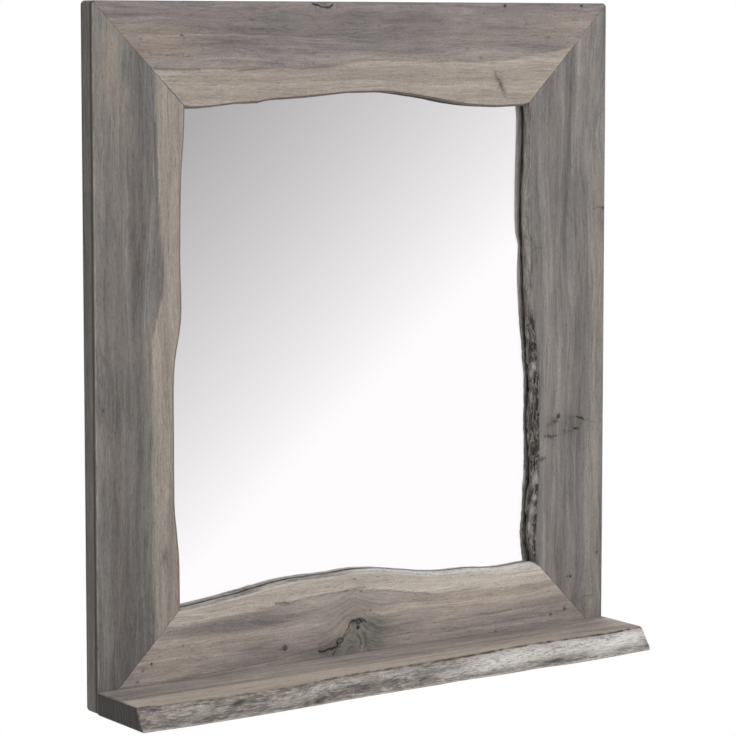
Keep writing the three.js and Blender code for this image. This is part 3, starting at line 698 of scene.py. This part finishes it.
def end_in_shader(add, inputs):
    """Sends the inputs through the usual shader to the material's surface"""
    shader = add("ShaderNodeBsdfPrincipled", inputs)
    add("ShaderNodeOutputMaterial", {"Surface": shader})


def places_in_mm(add):
    """A point's place on the object, in mm"""
    place = add("ShaderNodeTexCoord").outputs["Object"]
    return add(VECTOR, (place, 1 / MM), operation="SCALE")


def swells(add, places, lengths, detail=2.0, roughness=0.5, shift=0.0):
    """A noise from 0 to 1 with swells of these lengths in mm along the axes of the places"""
    placed = add("ShaderNodeMapping", {
        "Vector": places, "Scale": [1 / length for length in lengths],
        "Location": (shift, shift / 3, shift / 7),
    })
    return add("ShaderNodeTexNoise", {
        "Vector": placed, "Scale": 1.0, "Detail": detail, "Roughness": roughness,
    })


def creases(add, value, width):
    """1 along the thin wandering lines where a noise crosses its middle, and 0 beside them"""
    away = add(MATH, (value, 0.5), operation="SUBTRACT")
    away = add(MATH, (away,), operation="ABSOLUTE")
    return add(RANGE, (away, 0.0, width, 1.0, 0.0))


def soft_band(add, value, middle, width):
    """1 where the value is the middle one, falling softly to 0 on both sides"""
    away = add(MATH, (value, middle), operation="SUBTRACT")
    away = add(MATH, (away, width), operation="DIVIDE")
    square = add(MATH, (away, away), operation="MULTIPLY")
    square = add(MATH, (square, -1.0), operation="MULTIPLY")
    return add(MATH, (square,), operation="EXPONENT")


def weighted(add, start, *parts):
    """A start with each part (value, weight) added to it"""
    total = start
    for value, weight in parts:
        total = add(MATH, (value, weight, total), operation="MULTIPLY_ADD")
    return total


def product(add, first, *others):
    """The values multiplied together"""
    total = first
    for value in others:
        total = add(MATH, (total, value), operation="MULTIPLY")
    return total


def year_rings(add, grain, pith, wander, sway):
    """Distance from the pith in mm, which sways with a noise by so many mm"""
    away = add(VECTOR, (grain, (0, *pith)), operation="SUBTRACT")
    across = add(VECTOR, (away, (0, 1, 1)), operation="MULTIPLY")
    radius = add(VECTOR, (across,), operation="LENGTH")
    return weighted(add, radius, (wander, sway))


def stained_acacia(name):
    """Planed acacia under a grey water stain, wire-brushed lightly and left matt: the stain
    sits in the pores as fine dark dashes, the bands of the heartwood stay violet-grey, and
    the sapwood along the bark side takes less of it and stays a pale straw grey. Each board
    was cut from another part of the log. The pores are drawn 1.6 mm wide, because the real
    ones, at a fifth of a millimetre, wouldn't show."""
    wood = WOODS[name]
    material, add = new_material("stained_acacia_" + name)
    grain = add("ShaderNodeAttribute", attribute_name="grain").outputs["Vector"]
    marks = SimpleNamespace(**{
        key: add("ShaderNodeAttribute", attribute_name=key).outputs["Fac"]
        for key in ("sapwood", "dark", "pale", "cold", "behind", "live", "rough", "height")
    })
    turned = turned_grain(add, wood, grain)
    noises = SimpleNamespace(
        fibre=swells(add, grain, (18.18, 2, 2), 4, 0.72, wood.seed),
        cloud=swells(add, grain, (100, 29.41, 29.41), 3, 0.55, wood.seed + 3),
        hairs=swells(add, turned, (10, 1.25, 1), 4, 0.75, wood.seed + 6),
        dots=add(RANGE, (swells(add, grain, (10, 1.613, 1.613), 2, 0.6, wood.seed + 9), 0.42, 0.3)),
    )
    face = planed_face(add, name, grain, marks, noises)
    edge, lift, crackle = bark_side(add, wood, grain, turned, marks, noises.hairs)
    colour = add(MIX, (marks.live, face, edge), **BLENDED)
    colour = arris_wear_highlights_and_shade(add, wood, grain, colour, crackle, marks, noises)
    colour = stain_and_shade_marks(add, colour, marks, noises.hairs)

    lift = weighted(add, lift, (crackle, -0.35))
    coarse = product(add, lift, product(add, marks.live, 2.5))
    relief = weighted(add, coarse, (noises.fibre, 0.8), (noises.dots, -0.5))
    end_in_shader(add, {
        "Base Color": colour,
        "Roughness": add(RANGE, (noises.fibre, 0.2, 0.8, 0.8, 0.64)),
        "Specular IOR Level": 0.3,
        "Normal": add("ShaderNodeBump", {
            "Height": relief, "Strength": 0.4, "Distance": GRAIN_DEPTH * MM,
        }),
    })
    return material


def turned_grain(add, wood, grain):
    """The grain's places on the live edge, where the fibres wander up and down"""
    flow = swells(add, grain, (76.92, 20, 20), 2, 0.5, wood.seed + 15)
    flow = add(MATH, (flow, wood.swirl, -wood.swirl / 2), operation="MULTIPLY_ADD")
    offset = add("ShaderNodeCombineXYZ", (0.0, 0.0, flow))
    return add(VECTOR, (grain, offset), operation="ADD")


def planed_face(add, name, grain, marks, noises):
    """The planed face: year rings, the line between heartwood and sapwood, fibres and pores"""
    wood, cloud = WOODS[name], noises.cloud
    seed = wood.seed

    # year rings round the pith, which show as long bands and lines on a flat-sawn face
    wander = swells(add, grain, (222.2, 33.33, 33.33), 3, 0.55, seed)
    ring = year_rings(add, grain, wood.pith, wander, 26.0)
    along = add("ShaderNodeSeparateXYZ", (grain,)).outputs["X"]
    rings = add("ShaderNodeCombineXYZ", (along, ring, seed))
    bands = swells(add, rings, (384.6, 11.765, 1), 3, 0.6, seed)
    lines = swells(add, rings, (71.43, 2.381, 1), 4, 0.7, seed + 5)
    veins = creases(add, swells(add, rings, (285.7, 6.25, 1), 2, 0.5, seed + 27), 0.05)

    tone = weighted(add, product(add, lines, 0.38), (bands, 0.62))
    violet = add(RAMP, (tone,), zip((0.32, 0.43, 0.54, 0.66), wood.heartwood))
    straw = add(RAMP, (tone,), zip((0.32, 0.48, 0.64), wood.sapwood))
    greenish = add(MIX, (1.0, violet, linear("#d8e0d6")), **TINTED)
    body = add(MIX, (add(RANGE, (cloud, 0.5, 0.3, 0.0, 0.4)), violet, greenish), **BLENDED)
    on_face = add(MATH, (1.0, marks.live), operation="SUBTRACT")
    tan = add(RANGE, (cloud, 0.5, 0.72, 0.0, 0.35))
    tan = add(MATH, (weighted(add, tan, (marks.pale, on_face)), 0.85), operation="MINIMUM")
    body = add(MIX, (tan, body, add(MIX, (1.0, straw, linear("#f1ece7")), **TINTED)), **BLENDED)

    wobble = add(MATH, (weighted(add, marks.sapwood, (lines, 8.0)), 4.0), operation="SUBTRACT")
    soft = LOOKS[name]["sap_soft"]
    in_sap = add(RANGE, (wobble, -soft, soft), interpolation_type="SMOOTHSTEP")
    colour = add(MIX, (in_sap, body, straw), **BLENDED)
    rim = product(add, soft_band(add, wobble, 0.0, 1.6), add(RANGE, (cloud, 0.4, 0.6, 0.0, 0.4)))
    colour = add(MIX, (rim, colour, linear("#6a5f58")), **BLENDED)

    # fibres, pores and limed flecks, as they show from a step away
    lime = swells(add, grain, (8.333, 1.4286, 1.4286), 2, 0.6, seed + 12)
    grit = swells(add, grain, (3.125, 1.25, 1.25), 2, 0.8, seed + 18)
    shade = weighted(add, add(RANGE, (noises.fibre, 0.25, 0.75, 0.475, 0.795)), (grit, 0.75),
                     (noises.dots, -0.26), (add(RANGE, (lime, 0.6, 0.74)), 0.18))
    thin = product(add, veins, add(RANGE, (cloud, 0.62, 0.42, 0.0, 0.2)))
    shade = add(MATH, (shade, thin), operation="SUBTRACT")
    grey = add("ShaderNodeCombineColor", (shade, shade, shade))
    return add(MIX, (1.0, colour, grey), **TINTED)


def bark_side(add, wood, grain, turned, marks, hairs):
    """The live edge: bare cambium, darker in its folds and paler on its ridges.
    Gives its colour, its height and its fine cracks."""
    seed = wood.seed
    bark = swells(add, turned, (23.81, 4.167, 3.125), 6, 0.72, seed + 2)
    pits = add(RANGE, (swells(add, turned, (7.692, 2, 1.4286), 3, 0.7, seed + 21), 0.42, 0.3))
    hair = add(MATH, (hairs, 0.5), operation="SUBTRACT")
    lift = weighted(add, bark, (marks.height, 0.1), (hair, 0.6), (pits, -0.22))
    cracked = creases(add, swells(add, turned, (22.22, 3.846, 2.5), 4, 0.6, seed + 31), 0.03)
    where = add(RANGE, (swells(add, grain, (33.33, 10, 7.143), 2, 0.6, seed + 35), 0.42, 0.58))
    crackle = product(add, cracked, where)
    strokes = creases(add, swells(add, turned, (16.667, 5, 3.333), 3, 0.6, seed + 41), 0.035)
    smooth = add(RAMP, (lift,), zip(EDGE_LEVELS, wood.smooth_edge))
    rough = add(RAMP, (lift,), zip(EDGE_LEVELS, wood.rough_edge))
    colour = add(MIX, (marks.rough, smooth, rough), **BLENDED)
    strokes = product(add, strokes, marks.rough, 0.8)
    return add(MIX, (strokes, colour, linear("#bdb8b2")), **BLENDED), lift, crackle


def arris_wear_highlights_and_shade(add, wood, grain, colour, crackle, marks, noises):
    """The arrises and ridges rubbed to bare silver-grey, with painted highlights on the live edge,
    and painted shade along the arrises and dark stain in fine cracks
    """
    arris_reach, rubbed_depth, outer_shade_depth = 3.3, 0.7, 3.5
    _, inwards, deep = add("ShaderNodeSeparateXYZ", (grain,)).outputs
    lip = soft_band(add, marks.behind, -0.3, 0.8)
    outer = add(MATH, (inwards, arris_reach), operation="LESS_THAN")
    # bare wood on the live edge, and painted highlights
    silver = product(add, marks.pale, marks.live, add(RANGE, (noises.hairs, 0.26, 0.56)))
    # the live arris rubbed pale, together with a painted highlight along it
    lip_rub_and_highlight = add(RANGE, (noises.cloud, 0.4, 0.6, 0.2 * wood.lip_wear_and_highlight, wood.lip_wear_and_highlight))
    silver = add(MATH, (silver, product(add, lip, lip_rub_and_highlight)), operation="MAXIMUM")
    rubbed = product(add, outer, soft_band(add, deep, rubbed_depth, 0.4),
                     add(RANGE, (noises.fibre, 0.4, 0.7, 0.2 * wood.wear, wood.wear)))
    # rubbed arrises, bare wood and painted highlights together
    wear_and_highlights = add(MATH, (silver, rubbed), operation="MAXIMUM")
    colour = add(MIX, (wear_and_highlights, colour, settings().wear_and_highlight_colour), **BLENDED)
    # dark stain in the fine cracks of the live edge
    crackle_dark_and_shade = product(add, crackle, product(add, marks.live, 0.8))
    # painted shade along the live arris
    crackle_dark_and_shade = add(MATH, (crackle_dark_and_shade, product(add, lip, wood.lip_shade)), operation="MAXIMUM")
    # painted shade: a dark band where the outer arris turns into the side
    settled = product(add, outer, soft_band(add, deep, outer_shade_depth, 1.7))
    crackle_dark_and_shade = weighted(add, crackle_dark_and_shade, (settled, wood.arris_shade))
    return add(MIX, (crackle_dark_and_shade, colour, settings().crack_stain_and_shade_colour), **BLENDED)


def stain_and_shade_marks(add, colour, marks, hairs):
    """The grey-green cast of deep stain, and the dark of cracks, knots and spots, with the painted
    shade along outer arrises, in hollows and along the joint of shelf and rail
    """
    cast = add(MIX, (1.0, colour, linear("#e4efec")), **TINTED)
    cold = add(MATH, (marks.cold, 1.0), operation="MINIMUM")
    colour = add(MIX, (cold, colour, cast), **BLENDED)
    spread = product(add, marks.dark, add(RANGE, (hairs, 0.32, 0.62, 0.25, 1.25)))
    full = add(RANGE, (marks.dark, 0.75, 1.3))
    spread = add(MATH, (spread, full), operation="MAXIMUM")
    spread = add(MATH, (spread, 1.0), operation="MINIMUM")
    return add(MIX, (spread, colour, settings().stain_and_shade_colour), **BLENDED)


def stained_end_grain():
    """The sawn end of the shelf: the open pores drink the stain, and the year rings stand out"""
    material, add = new_material("stained_end_grain")
    grain = add("ShaderNodeAttribute", attribute_name="grain").outputs["Vector"]
    wander = swells(add, grain, (20, 20, 20), 2, 0.5, 2.0)
    ring = year_rings(add, grain, END_PITH, wander, 9.0)
    years = swells(add, add("ShaderNodeCombineXYZ", (ring,)), (2.941, 1, 1), 4, 0.75)
    grit = swells(add, grain, (1.111, 1.111, 1.111), 4, 0.7, 8.0)
    tone = weighted(add, product(add, years, 0.7), (grit, 0.3))
    colour = add(RAMP, (tone,), zip((0.38, 0.47, 0.55, 0.66),
                                    ("#1f1d1b", "#363330", "#4c4845", "#6c6662")))
    dark = add("ShaderNodeAttribute", attribute_name="dark").outputs["Fac"]
    dark = add(MATH, (dark, 0.9), operation="MINIMUM")
    end_in_shader(add, {
        "Base Color": add(MIX, (dark, colour, linear("#332d29")), **BLENDED),
        "Roughness": 0.8,
        "Normal": add("ShaderNodeBump", {
            "Height": tone, "Strength": 0.5, "Distance": GRAIN_DEPTH * MM,
        }),
    })
    return material


def float_glass():
    """Clear float glass, fire-finished: smooth and colourless, with a faint glint of its own"""
    material, add = new_material("clear_float_glass")
    end_in_shader(add, {
        "Base Color": linear("#ffffff"), "Roughness": 0.0, "IOR": 1.52, "Transmission Weight": 1.0,
    })
    return material


def silvering():
    """Silver laid on the back of the glass, seen through it: a clean, near-white reflection"""
    material, add = new_material("chemically_laid_silver")
    end_in_shader(add, {"Base Color": linear("#fffcfe"), "Metallic": 1.0, "Roughness": 0.0})
    return material


def metal(name, dark, light, roughness):
    """Plated or phosphated steel: fine cloudy crystals under a dull sheen. They are drawn at
    0.7 mm, far coarser than the real ones, which wouldn't show."""
    material, add = new_material(name)
    crystals = swells(add, places_in_mm(add), (0.714, 0.714, 0.714), 3, 0.6)
    end_in_shader(add, {
        "Base Color": add(RAMP, (crystals,), ((0.35, dark), (0.65, light))),
        "Metallic": 1.0,
        "Roughness": add(RANGE, {"Value": crystals, "To Min": roughness,
                                 "To Max": roughness + 0.15}),
    })
    return material


def hardboard():
    """Wet-pressed hardboard, smooth side out: short brown fibres matted in every direction"""
    material, add = new_material("pressed_hardboard")
    place = places_in_mm(add)
    fibres = swells(add, place, (1.111, 1.111, 1.111), 4, 0.7)
    cloud = swells(add, place, (40, 40, 40), 3, 0.6, 4)
    tone = weighted(add, product(add, cloud, 0.15), (fibres, 0.85))
    end_in_shader(add, {
        "Base Color": add(RAMP, (tone,), zip((0.34, 0.5, 0.66), ("#523b2b", "#76583f", "#9c7b58"))),
        "Roughness": 0.62,
        "Normal": add("ShaderNodeBump", {
            "Height": fibres, "Strength": 0.25, "Distance": 0.5 * GRAIN_DEPTH * MM,
        }),
    })
    return material


def planed_beech():
    """Steamed beech: even pinkish straw wood with short darker ray flecks"""
    material, add = new_material("planed_beech")
    flecks = swells(add, places_in_mm(add), (3.333, 0.667, 0.667), 3, 0.6)
    end_in_shader(add, {
        "Base Color": add(RAMP, (flecks,), ((0.35, "#a98259"), (0.55, "#c8a878"))),
        "Roughness": 0.6,
    })
    return material


def floor_paint():
    """Dull pale floor paint, which towards the floor's rim runs into the white surround"""
    material, add = new_material("pale_studio_floor")
    radius = settings().floor_radius
    paint = add("ShaderNodeBsdfPrincipled", {
        "Base Color": settings().floor_colour, "Roughness": 0.9,
    })
    place = add("ShaderNodeTexCoord").outputs["Object"]
    flat = add(VECTOR, (place, (1, 1, 0)), operation="MULTIPLY")
    away = add(VECTOR, (flat,), operation="LENGTH")
    fade = add(RANGE, (away, 0.35 * radius, 0.97 * radius), interpolation_type="SMOOTHSTEP")
    white = add("ShaderNodeEmission", {"Color": (1, 1, 1, 1), "Strength": 1.0})
    mixed = add("ShaderNodeMixShader", (fade, paint, white))
    add("ShaderNodeOutputMaterial", {"Surface": mixed})
    return material


# ---- operators: one for each piece or group of like pieces -----------------------------------

def length_property(name, description, default, least=0.0):
    return bpy.props.FloatProperty(name=name, description=description, default=default,
                                   min=least, unit="LENGTH")


def colour_property(name, description, default):
    return bpy.props.FloatVectorProperty(name=name, description=description, size=4, min=0.0,
                                         max=1.0, default=linear(default), subtype="COLOR")


class MirrorSettings(bpy.types.PropertyGroup):
    """Sizes and colours that a user may change"""

    mesh_step: length_property(
        "Mesh step", "Distance between two lines of the mesh on a board's face", 2.5 * MM, MM)
    metal_arris: length_property(
        "Metal arris", "How far the edges of the keyhole plates are eased", 0.25 * MM)
    floor_drop: length_property(
        "Floor below the mirror", "From the foot of the frame down to the floor", 1.05)
    floor_radius: length_property(
        "Floor radius", "Reach of the pale floor round the mirror", 2.2)
    floor_colour: colour_property(
        "Floor", "Colour of the floor's paint", "#e4e3e1")
    # colour of rubbed bare wood, and of the painted highlights on the live edge
    wear_and_highlight_colour: colour_property(
        "Worn wood", "Bare wood where arrises and ridges are rubbed", "#dad6d1")
    # colour of the stain in fine cracks, and of the painted shade along the arrises
    crack_stain_and_shade_colour: colour_property(
        "Settled stain", "Stain that has settled along arrises and in fine cracks", "#3a3531")
    # colour of stains, cracks and knots, and of painted shade along outer sides, in hollows and
    # along the joint of shelf and rail
    stain_and_shade_colour: colour_property(
        "Cracks and knots", "The darkest stain, in cracks, knots and spots", "#302e2a")


def settings():
    return bpy.context.scene.mirror_settings


class MIRROR_OT_boards(bpy.types.Operator):
    """Builds the four mitred boards with their live edges"""

    bl_idname = "mirror.boards"
    bl_label = "Frame boards"

    def execute(self, context):
        for name in ("left_stile", "top_rail", "right_stile", "bottom_rail"):
            finish_piece(board_piece(name), "frame_wood", [name], stained_acacia(name))
        return {"FINISHED"}


class MIRROR_OT_shelf(bpy.types.Operator):
    """Builds the shelf board with its rough natural front and its sawn ends"""

    bl_idname = "mirror.shelf"
    bl_label = "Shelf board"

    def execute(self, context):
        piece = board_piece("shelf_board")
        for polygon in piece.data.polygons:
            polygon.material_index = int(abs(polygon.normal.x) > 0.9)
        finish_piece(piece, "shelf_wood", ["shelf_board"], stained_acacia("shelf_board"),
                     stained_end_grain())
        return {"FINISHED"}


class MIRROR_OT_pane(bpy.types.Operator):
    """Builds the pane: clear glass with silver on its back"""

    bl_idname = "mirror.pane"
    bl_label = "Mirror pane"

    def execute(self, context):
        bm = merged_solid("mirror_pane")
        for face in bm.faces:
            face.smooth = False
            face.material_index = int(face.normal.y > 0.9)
        piece = new_object("silvered_pane", mesh_from(bm, "silvered_pane"))
        finish_piece(piece, "silvered_glass", ["mirror_pane"], float_glass(), silvering())
        return {"FINISHED"}


class MIRROR_OT_back(bpy.types.Operator):
    """Finishes the back panel and the wooden joint pieces"""

    bl_idname = "mirror.back"
    bl_label = "Back and joints"

    def execute(self, context):
        board, beech = hardboard(), planed_beech()
        for name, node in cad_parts.items():
            if name == "back_panel" or name.startswith(("mitre_biscuit", "shelf_dowel")):
                node.data.materials.clear()
                node.data.materials.append(board if name == "back_panel" else beech)
        return {"FINISHED"}


class MIRROR_OT_metal(bpy.types.Operator):
    """Builds the keyhole plates and turns the screws home"""

    bl_idname = "mirror.metal"
    bl_label = "Plates and screws"

    def execute(self, context):
        black = metal("black_phosphated_steel", "#242426", "#3a3a3d", 0.4)
        zinc = metal("bright_zinc_plate", "#a5a8ab", "#c6c9cb", 0.3)
        for name in ("keyhole_hanger_left", "keyhole_hanger_right"):
            piece = new_object(name + "_plate", eased_copy(name, settings().metal_arris))
            finish_piece(piece, "zinc_steel", [name], zinc)
        turn_home("panel_screw", black, "black_steel")
        turn_home("shelf_screw", black, "black_steel")
        turn_home("hanger_screw", zinc, "zinc_steel")
        return {"FINISHED"}


def eased_copy(name, arris):
    """A copy of a CAD piece's mesh with its sharp edges eased"""
    bm = merged_solid(name)
    sharp_angle = math.radians(40)
    sharp = [e for e in bm.edges if e.calc_face_angle(0) > sharp_angle]
    bmesh.ops.bevel(bm, geom=sharp, offset=arris, segments=2, affect="EDGES", clamp_overlap=True)
    shade_smooth(bm, sharp_angle)
    return mesh_from(bm, name + "_eased")


def screw_group():
    """Geometry nodes that set a screw at each point, each turned by its own amount"""
    tree = bpy.data.node_groups.new("screws", "GeometryNodeTree")
    for name, kind in (("Places", "Geometry"), ("Screw", "Object"), ("Material", "Material"),
                       ("Seed", "Int")):
        tree.interface.new_socket(name, in_out="INPUT", socket_type="NodeSocket" + kind)
    tree.interface.new_socket("Screws", in_out="OUTPUT", socket_type="NodeSocketGeometry")
    add = partial(add_node, tree)
    given = add("NodeGroupInput").outputs
    screw = add("GeometryNodeObjectInfo", {"Object": given["Screw"]}).outputs["Geometry"]
    points = add("GeometryNodeMeshToPoints", {"Mesh": given["Places"]})
    turn = add("FunctionNodeRandomValue", {"Max": (0, math.tau, 0), "Seed": given["Seed"]},
               data_type="FLOAT_VECTOR")
    spin = add("FunctionNodeEulerToRotation", (turn,))
    placed = add("GeometryNodeInstanceOnPoints", {
        "Points": points, "Instance": screw, "Rotation": spin,
    })
    real = add("GeometryNodeRealizeInstances", (placed,))
    covered = add("GeometryNodeSetMaterial", {"Geometry": real, "Material": given["Material"]})
    add("NodeGroupOutput", (covered,))
    return tree


def turn_home(prefix, material, slot):
    """One piece for all the screws of a kind, in the places of their CAD nodes"""
    names = sorted(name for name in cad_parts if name.startswith(prefix))
    boxes = [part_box(name) for name in names]
    centres = [((low.x + high.x) / 2, 0, (low.z + high.z) / 2) for low, high in boxes]
    mesh = eased_copy(names[0], settings().metal_arris / 3)
    mesh.transform(Matrix.Translation(-Vector(centres[0])))
    single = new_object(prefix, mesh)
    places = bpy.data.meshes.new(prefix + "_places")
    places.from_pydata(centres, [], [])
    piece = new_object(prefix + "s", places)
    group = bpy.data.node_groups.get("screws") or screw_group()
    modifier = piece.modifiers.new("screws", "NODES")
    modifier.node_group = group
    for name, value in (("Screw", single), ("Material", material), ("Seed", len(names))):
        modifier[group.interface.items_tree[name].identifier] = value
    depsgraph = bpy.context.evaluated_depsgraph_get()
    done = bpy.data.meshes.new_from_object(piece.evaluated_get(depsgraph))
    piece.modifiers.clear()
    piece.data = done
    bpy.data.objects.remove(single)
    bpy.data.meshes.remove(places)
    finish_piece(piece, slot, names)


class MIRROR_OT_stage(bpy.types.Operator):
    """Lays the pale floor and sets the lamps, the white surround and the camera"""

    bl_idname = "mirror.stage"
    bl_label = "Stage"

    def execute(self, context):
        build_floor()
        build_lamps()
        build_world()
        build_camera()
        context.scene.view_settings.view_transform = "Standard"
        return {"FINISHED"}


def build_floor():
    """A round floor that casts no reflection of its own in the glass"""
    bm = bmesh.new()
    bmesh.ops.create_circle(bm, cap_ends=True, radius=settings().floor_radius, segments=96)
    bmesh.ops.translate(bm, verts=bm.verts, vec=(0, 0, FOOT - settings().floor_drop))
    floor = new_object("floor", mesh_from(bm, "floor"))
    floor.data.materials.append(floor_paint())
    floor.visible_glossy = False
    floor.visible_transmission = False


def build_lamps():
    """A broad key from the front right and above, two weak fills, and a lamp for the back"""
    aim = Vector((0, 0, (TOP + FOOT) / 2))
    for name, place, size, power in (
        ("key_lamp", (1.9, -3.2, 1.6), 2.0, 74),
        ("low_lamp", (0.2, -3.4, -0.9), 1.4, 10),
        ("fill_lamp", (-2.6, -2.6, 1.8), 2.4, 16),
        ("back_lamp", (1.8, 3.0, 2.2), 2.4, 60),
    ):
        lamp = bpy.data.lights.new(name, "AREA")
        lamp.shape = "DISK"
        lamp.size = size
        lamp.energy = power
        holder = new_object(name, lamp)
        holder.location = place
        holder.rotation_euler = (aim - Vector(place)).to_track_quat("-Z", "Y").to_euler()


def build_world():
    """Soft light from all sides; eyes see white, and mirrors see it graded to grey in waves"""
    start, half_wave = math.radians(32), math.radians(16.5)
    darkest, lightest = math.radians(1.2), math.radians(10.2)
    grey, screen_gamma, soft_light = 0.675, 2.2, 0.5
    world = bpy.data.worlds.new("studio")
    bpy.context.scene.world = world
    world.use_nodes = True
    world.node_tree.nodes.clear()
    add = partial(add_node, world.node_tree)
    way = add("ShaderNodeTexCoord").outputs["Generated"]
    x, y, z = add("ShaderNodeSeparateXYZ", (way,)).outputs
    turn = add(MATH, (x, product(add, y, -1.0)), operation="ARCTAN2")
    rise = add(MATH, (z,), operation="ARCSINE")
    fall = add(MATH, (turn, rise), operation="SUBTRACT")
    fall = add(MATH, (fall, start), operation="SUBTRACT")
    wave = add(MATH, (fall, half_wave), operation="PINGPONG")
    shade = add(RANGE, (wave, darkest, lightest, grey, 1.0))
    level = add(MATH, (shade, screen_gamma), operation="POWER")
    rays = add("ShaderNodeLightPath").outputs
    mirrored = add(MATH, (rays["Is Glossy Ray"], rays["Is Transmission Ray"]), operation="MAXIMUM")
    seen = add(MIX, (mirrored, soft_light, level))
    seen = add(MIX, (rays["Is Camera Ray"], seen, 1.0))
    background = add("ShaderNodeBackground", {"Color": (1, 1, 1, 1), "Strength": seen})
    add("ShaderNodeOutputWorld", {"Surface": background})


def build_camera():
    """The photograph's viewpoint: from the left, level with the upper edge of the frame"""
    camera = bpy.data.cameras.new("camera")
    camera.sensor_width = 36
    camera.lens = 139.55
    camera.shift_y = -0.1
    pitch, yaw = math.radians(5.333), math.radians(34.877)
    holder = new_object("camera", camera)
    holder.location = (-1.8332, -2.6612, 0.0157)
    holder.rotation_euler = (math.pi / 2 - pitch, 0, -yaw)
    bpy.context.scene.camera = holder


class MIRROR_PT_panel(bpy.types.Panel):
    """Settings and steps of the mirror"""

    bl_idname = "MIRROR_PT_panel"
    bl_label = "Mirror"
    bl_space_type = "VIEW_3D"
    bl_region_type = "UI"
    bl_category = "Mirror"

    def draw(self, context):
        for name in MirrorSettings.__annotations__:
            self.layout.prop(context.scene.mirror_settings, name)
        for step in STEPS:
            self.layout.operator(step.bl_idname)


STEPS = (MIRROR_OT_boards, MIRROR_OT_shelf, MIRROR_OT_pane, MIRROR_OT_back, MIRROR_OT_metal,
         MIRROR_OT_stage)
CLASSES = (MirrorSettings, *STEPS, MIRROR_PT_panel)


def register():
    for cls in CLASSES:
        bpy.utils.register_class(cls)
    bpy.types.Scene.mirror_settings = bpy.props.PointerProperty(type=MirrorSettings)


def unregister():
    del bpy.types.Scene.mirror_settings
    for cls in reversed(CLASSES):
        bpy.utils.unregister_class(cls)


def main():
    register()
    bpy.ops.mirror.boards()
    bpy.ops.mirror.shelf()
    bpy.ops.mirror.pane()
    bpy.ops.mirror.back()
    bpy.ops.mirror.metal()
    bpy.ops.mirror.stage()


if __name__ == "__main__":
    main()
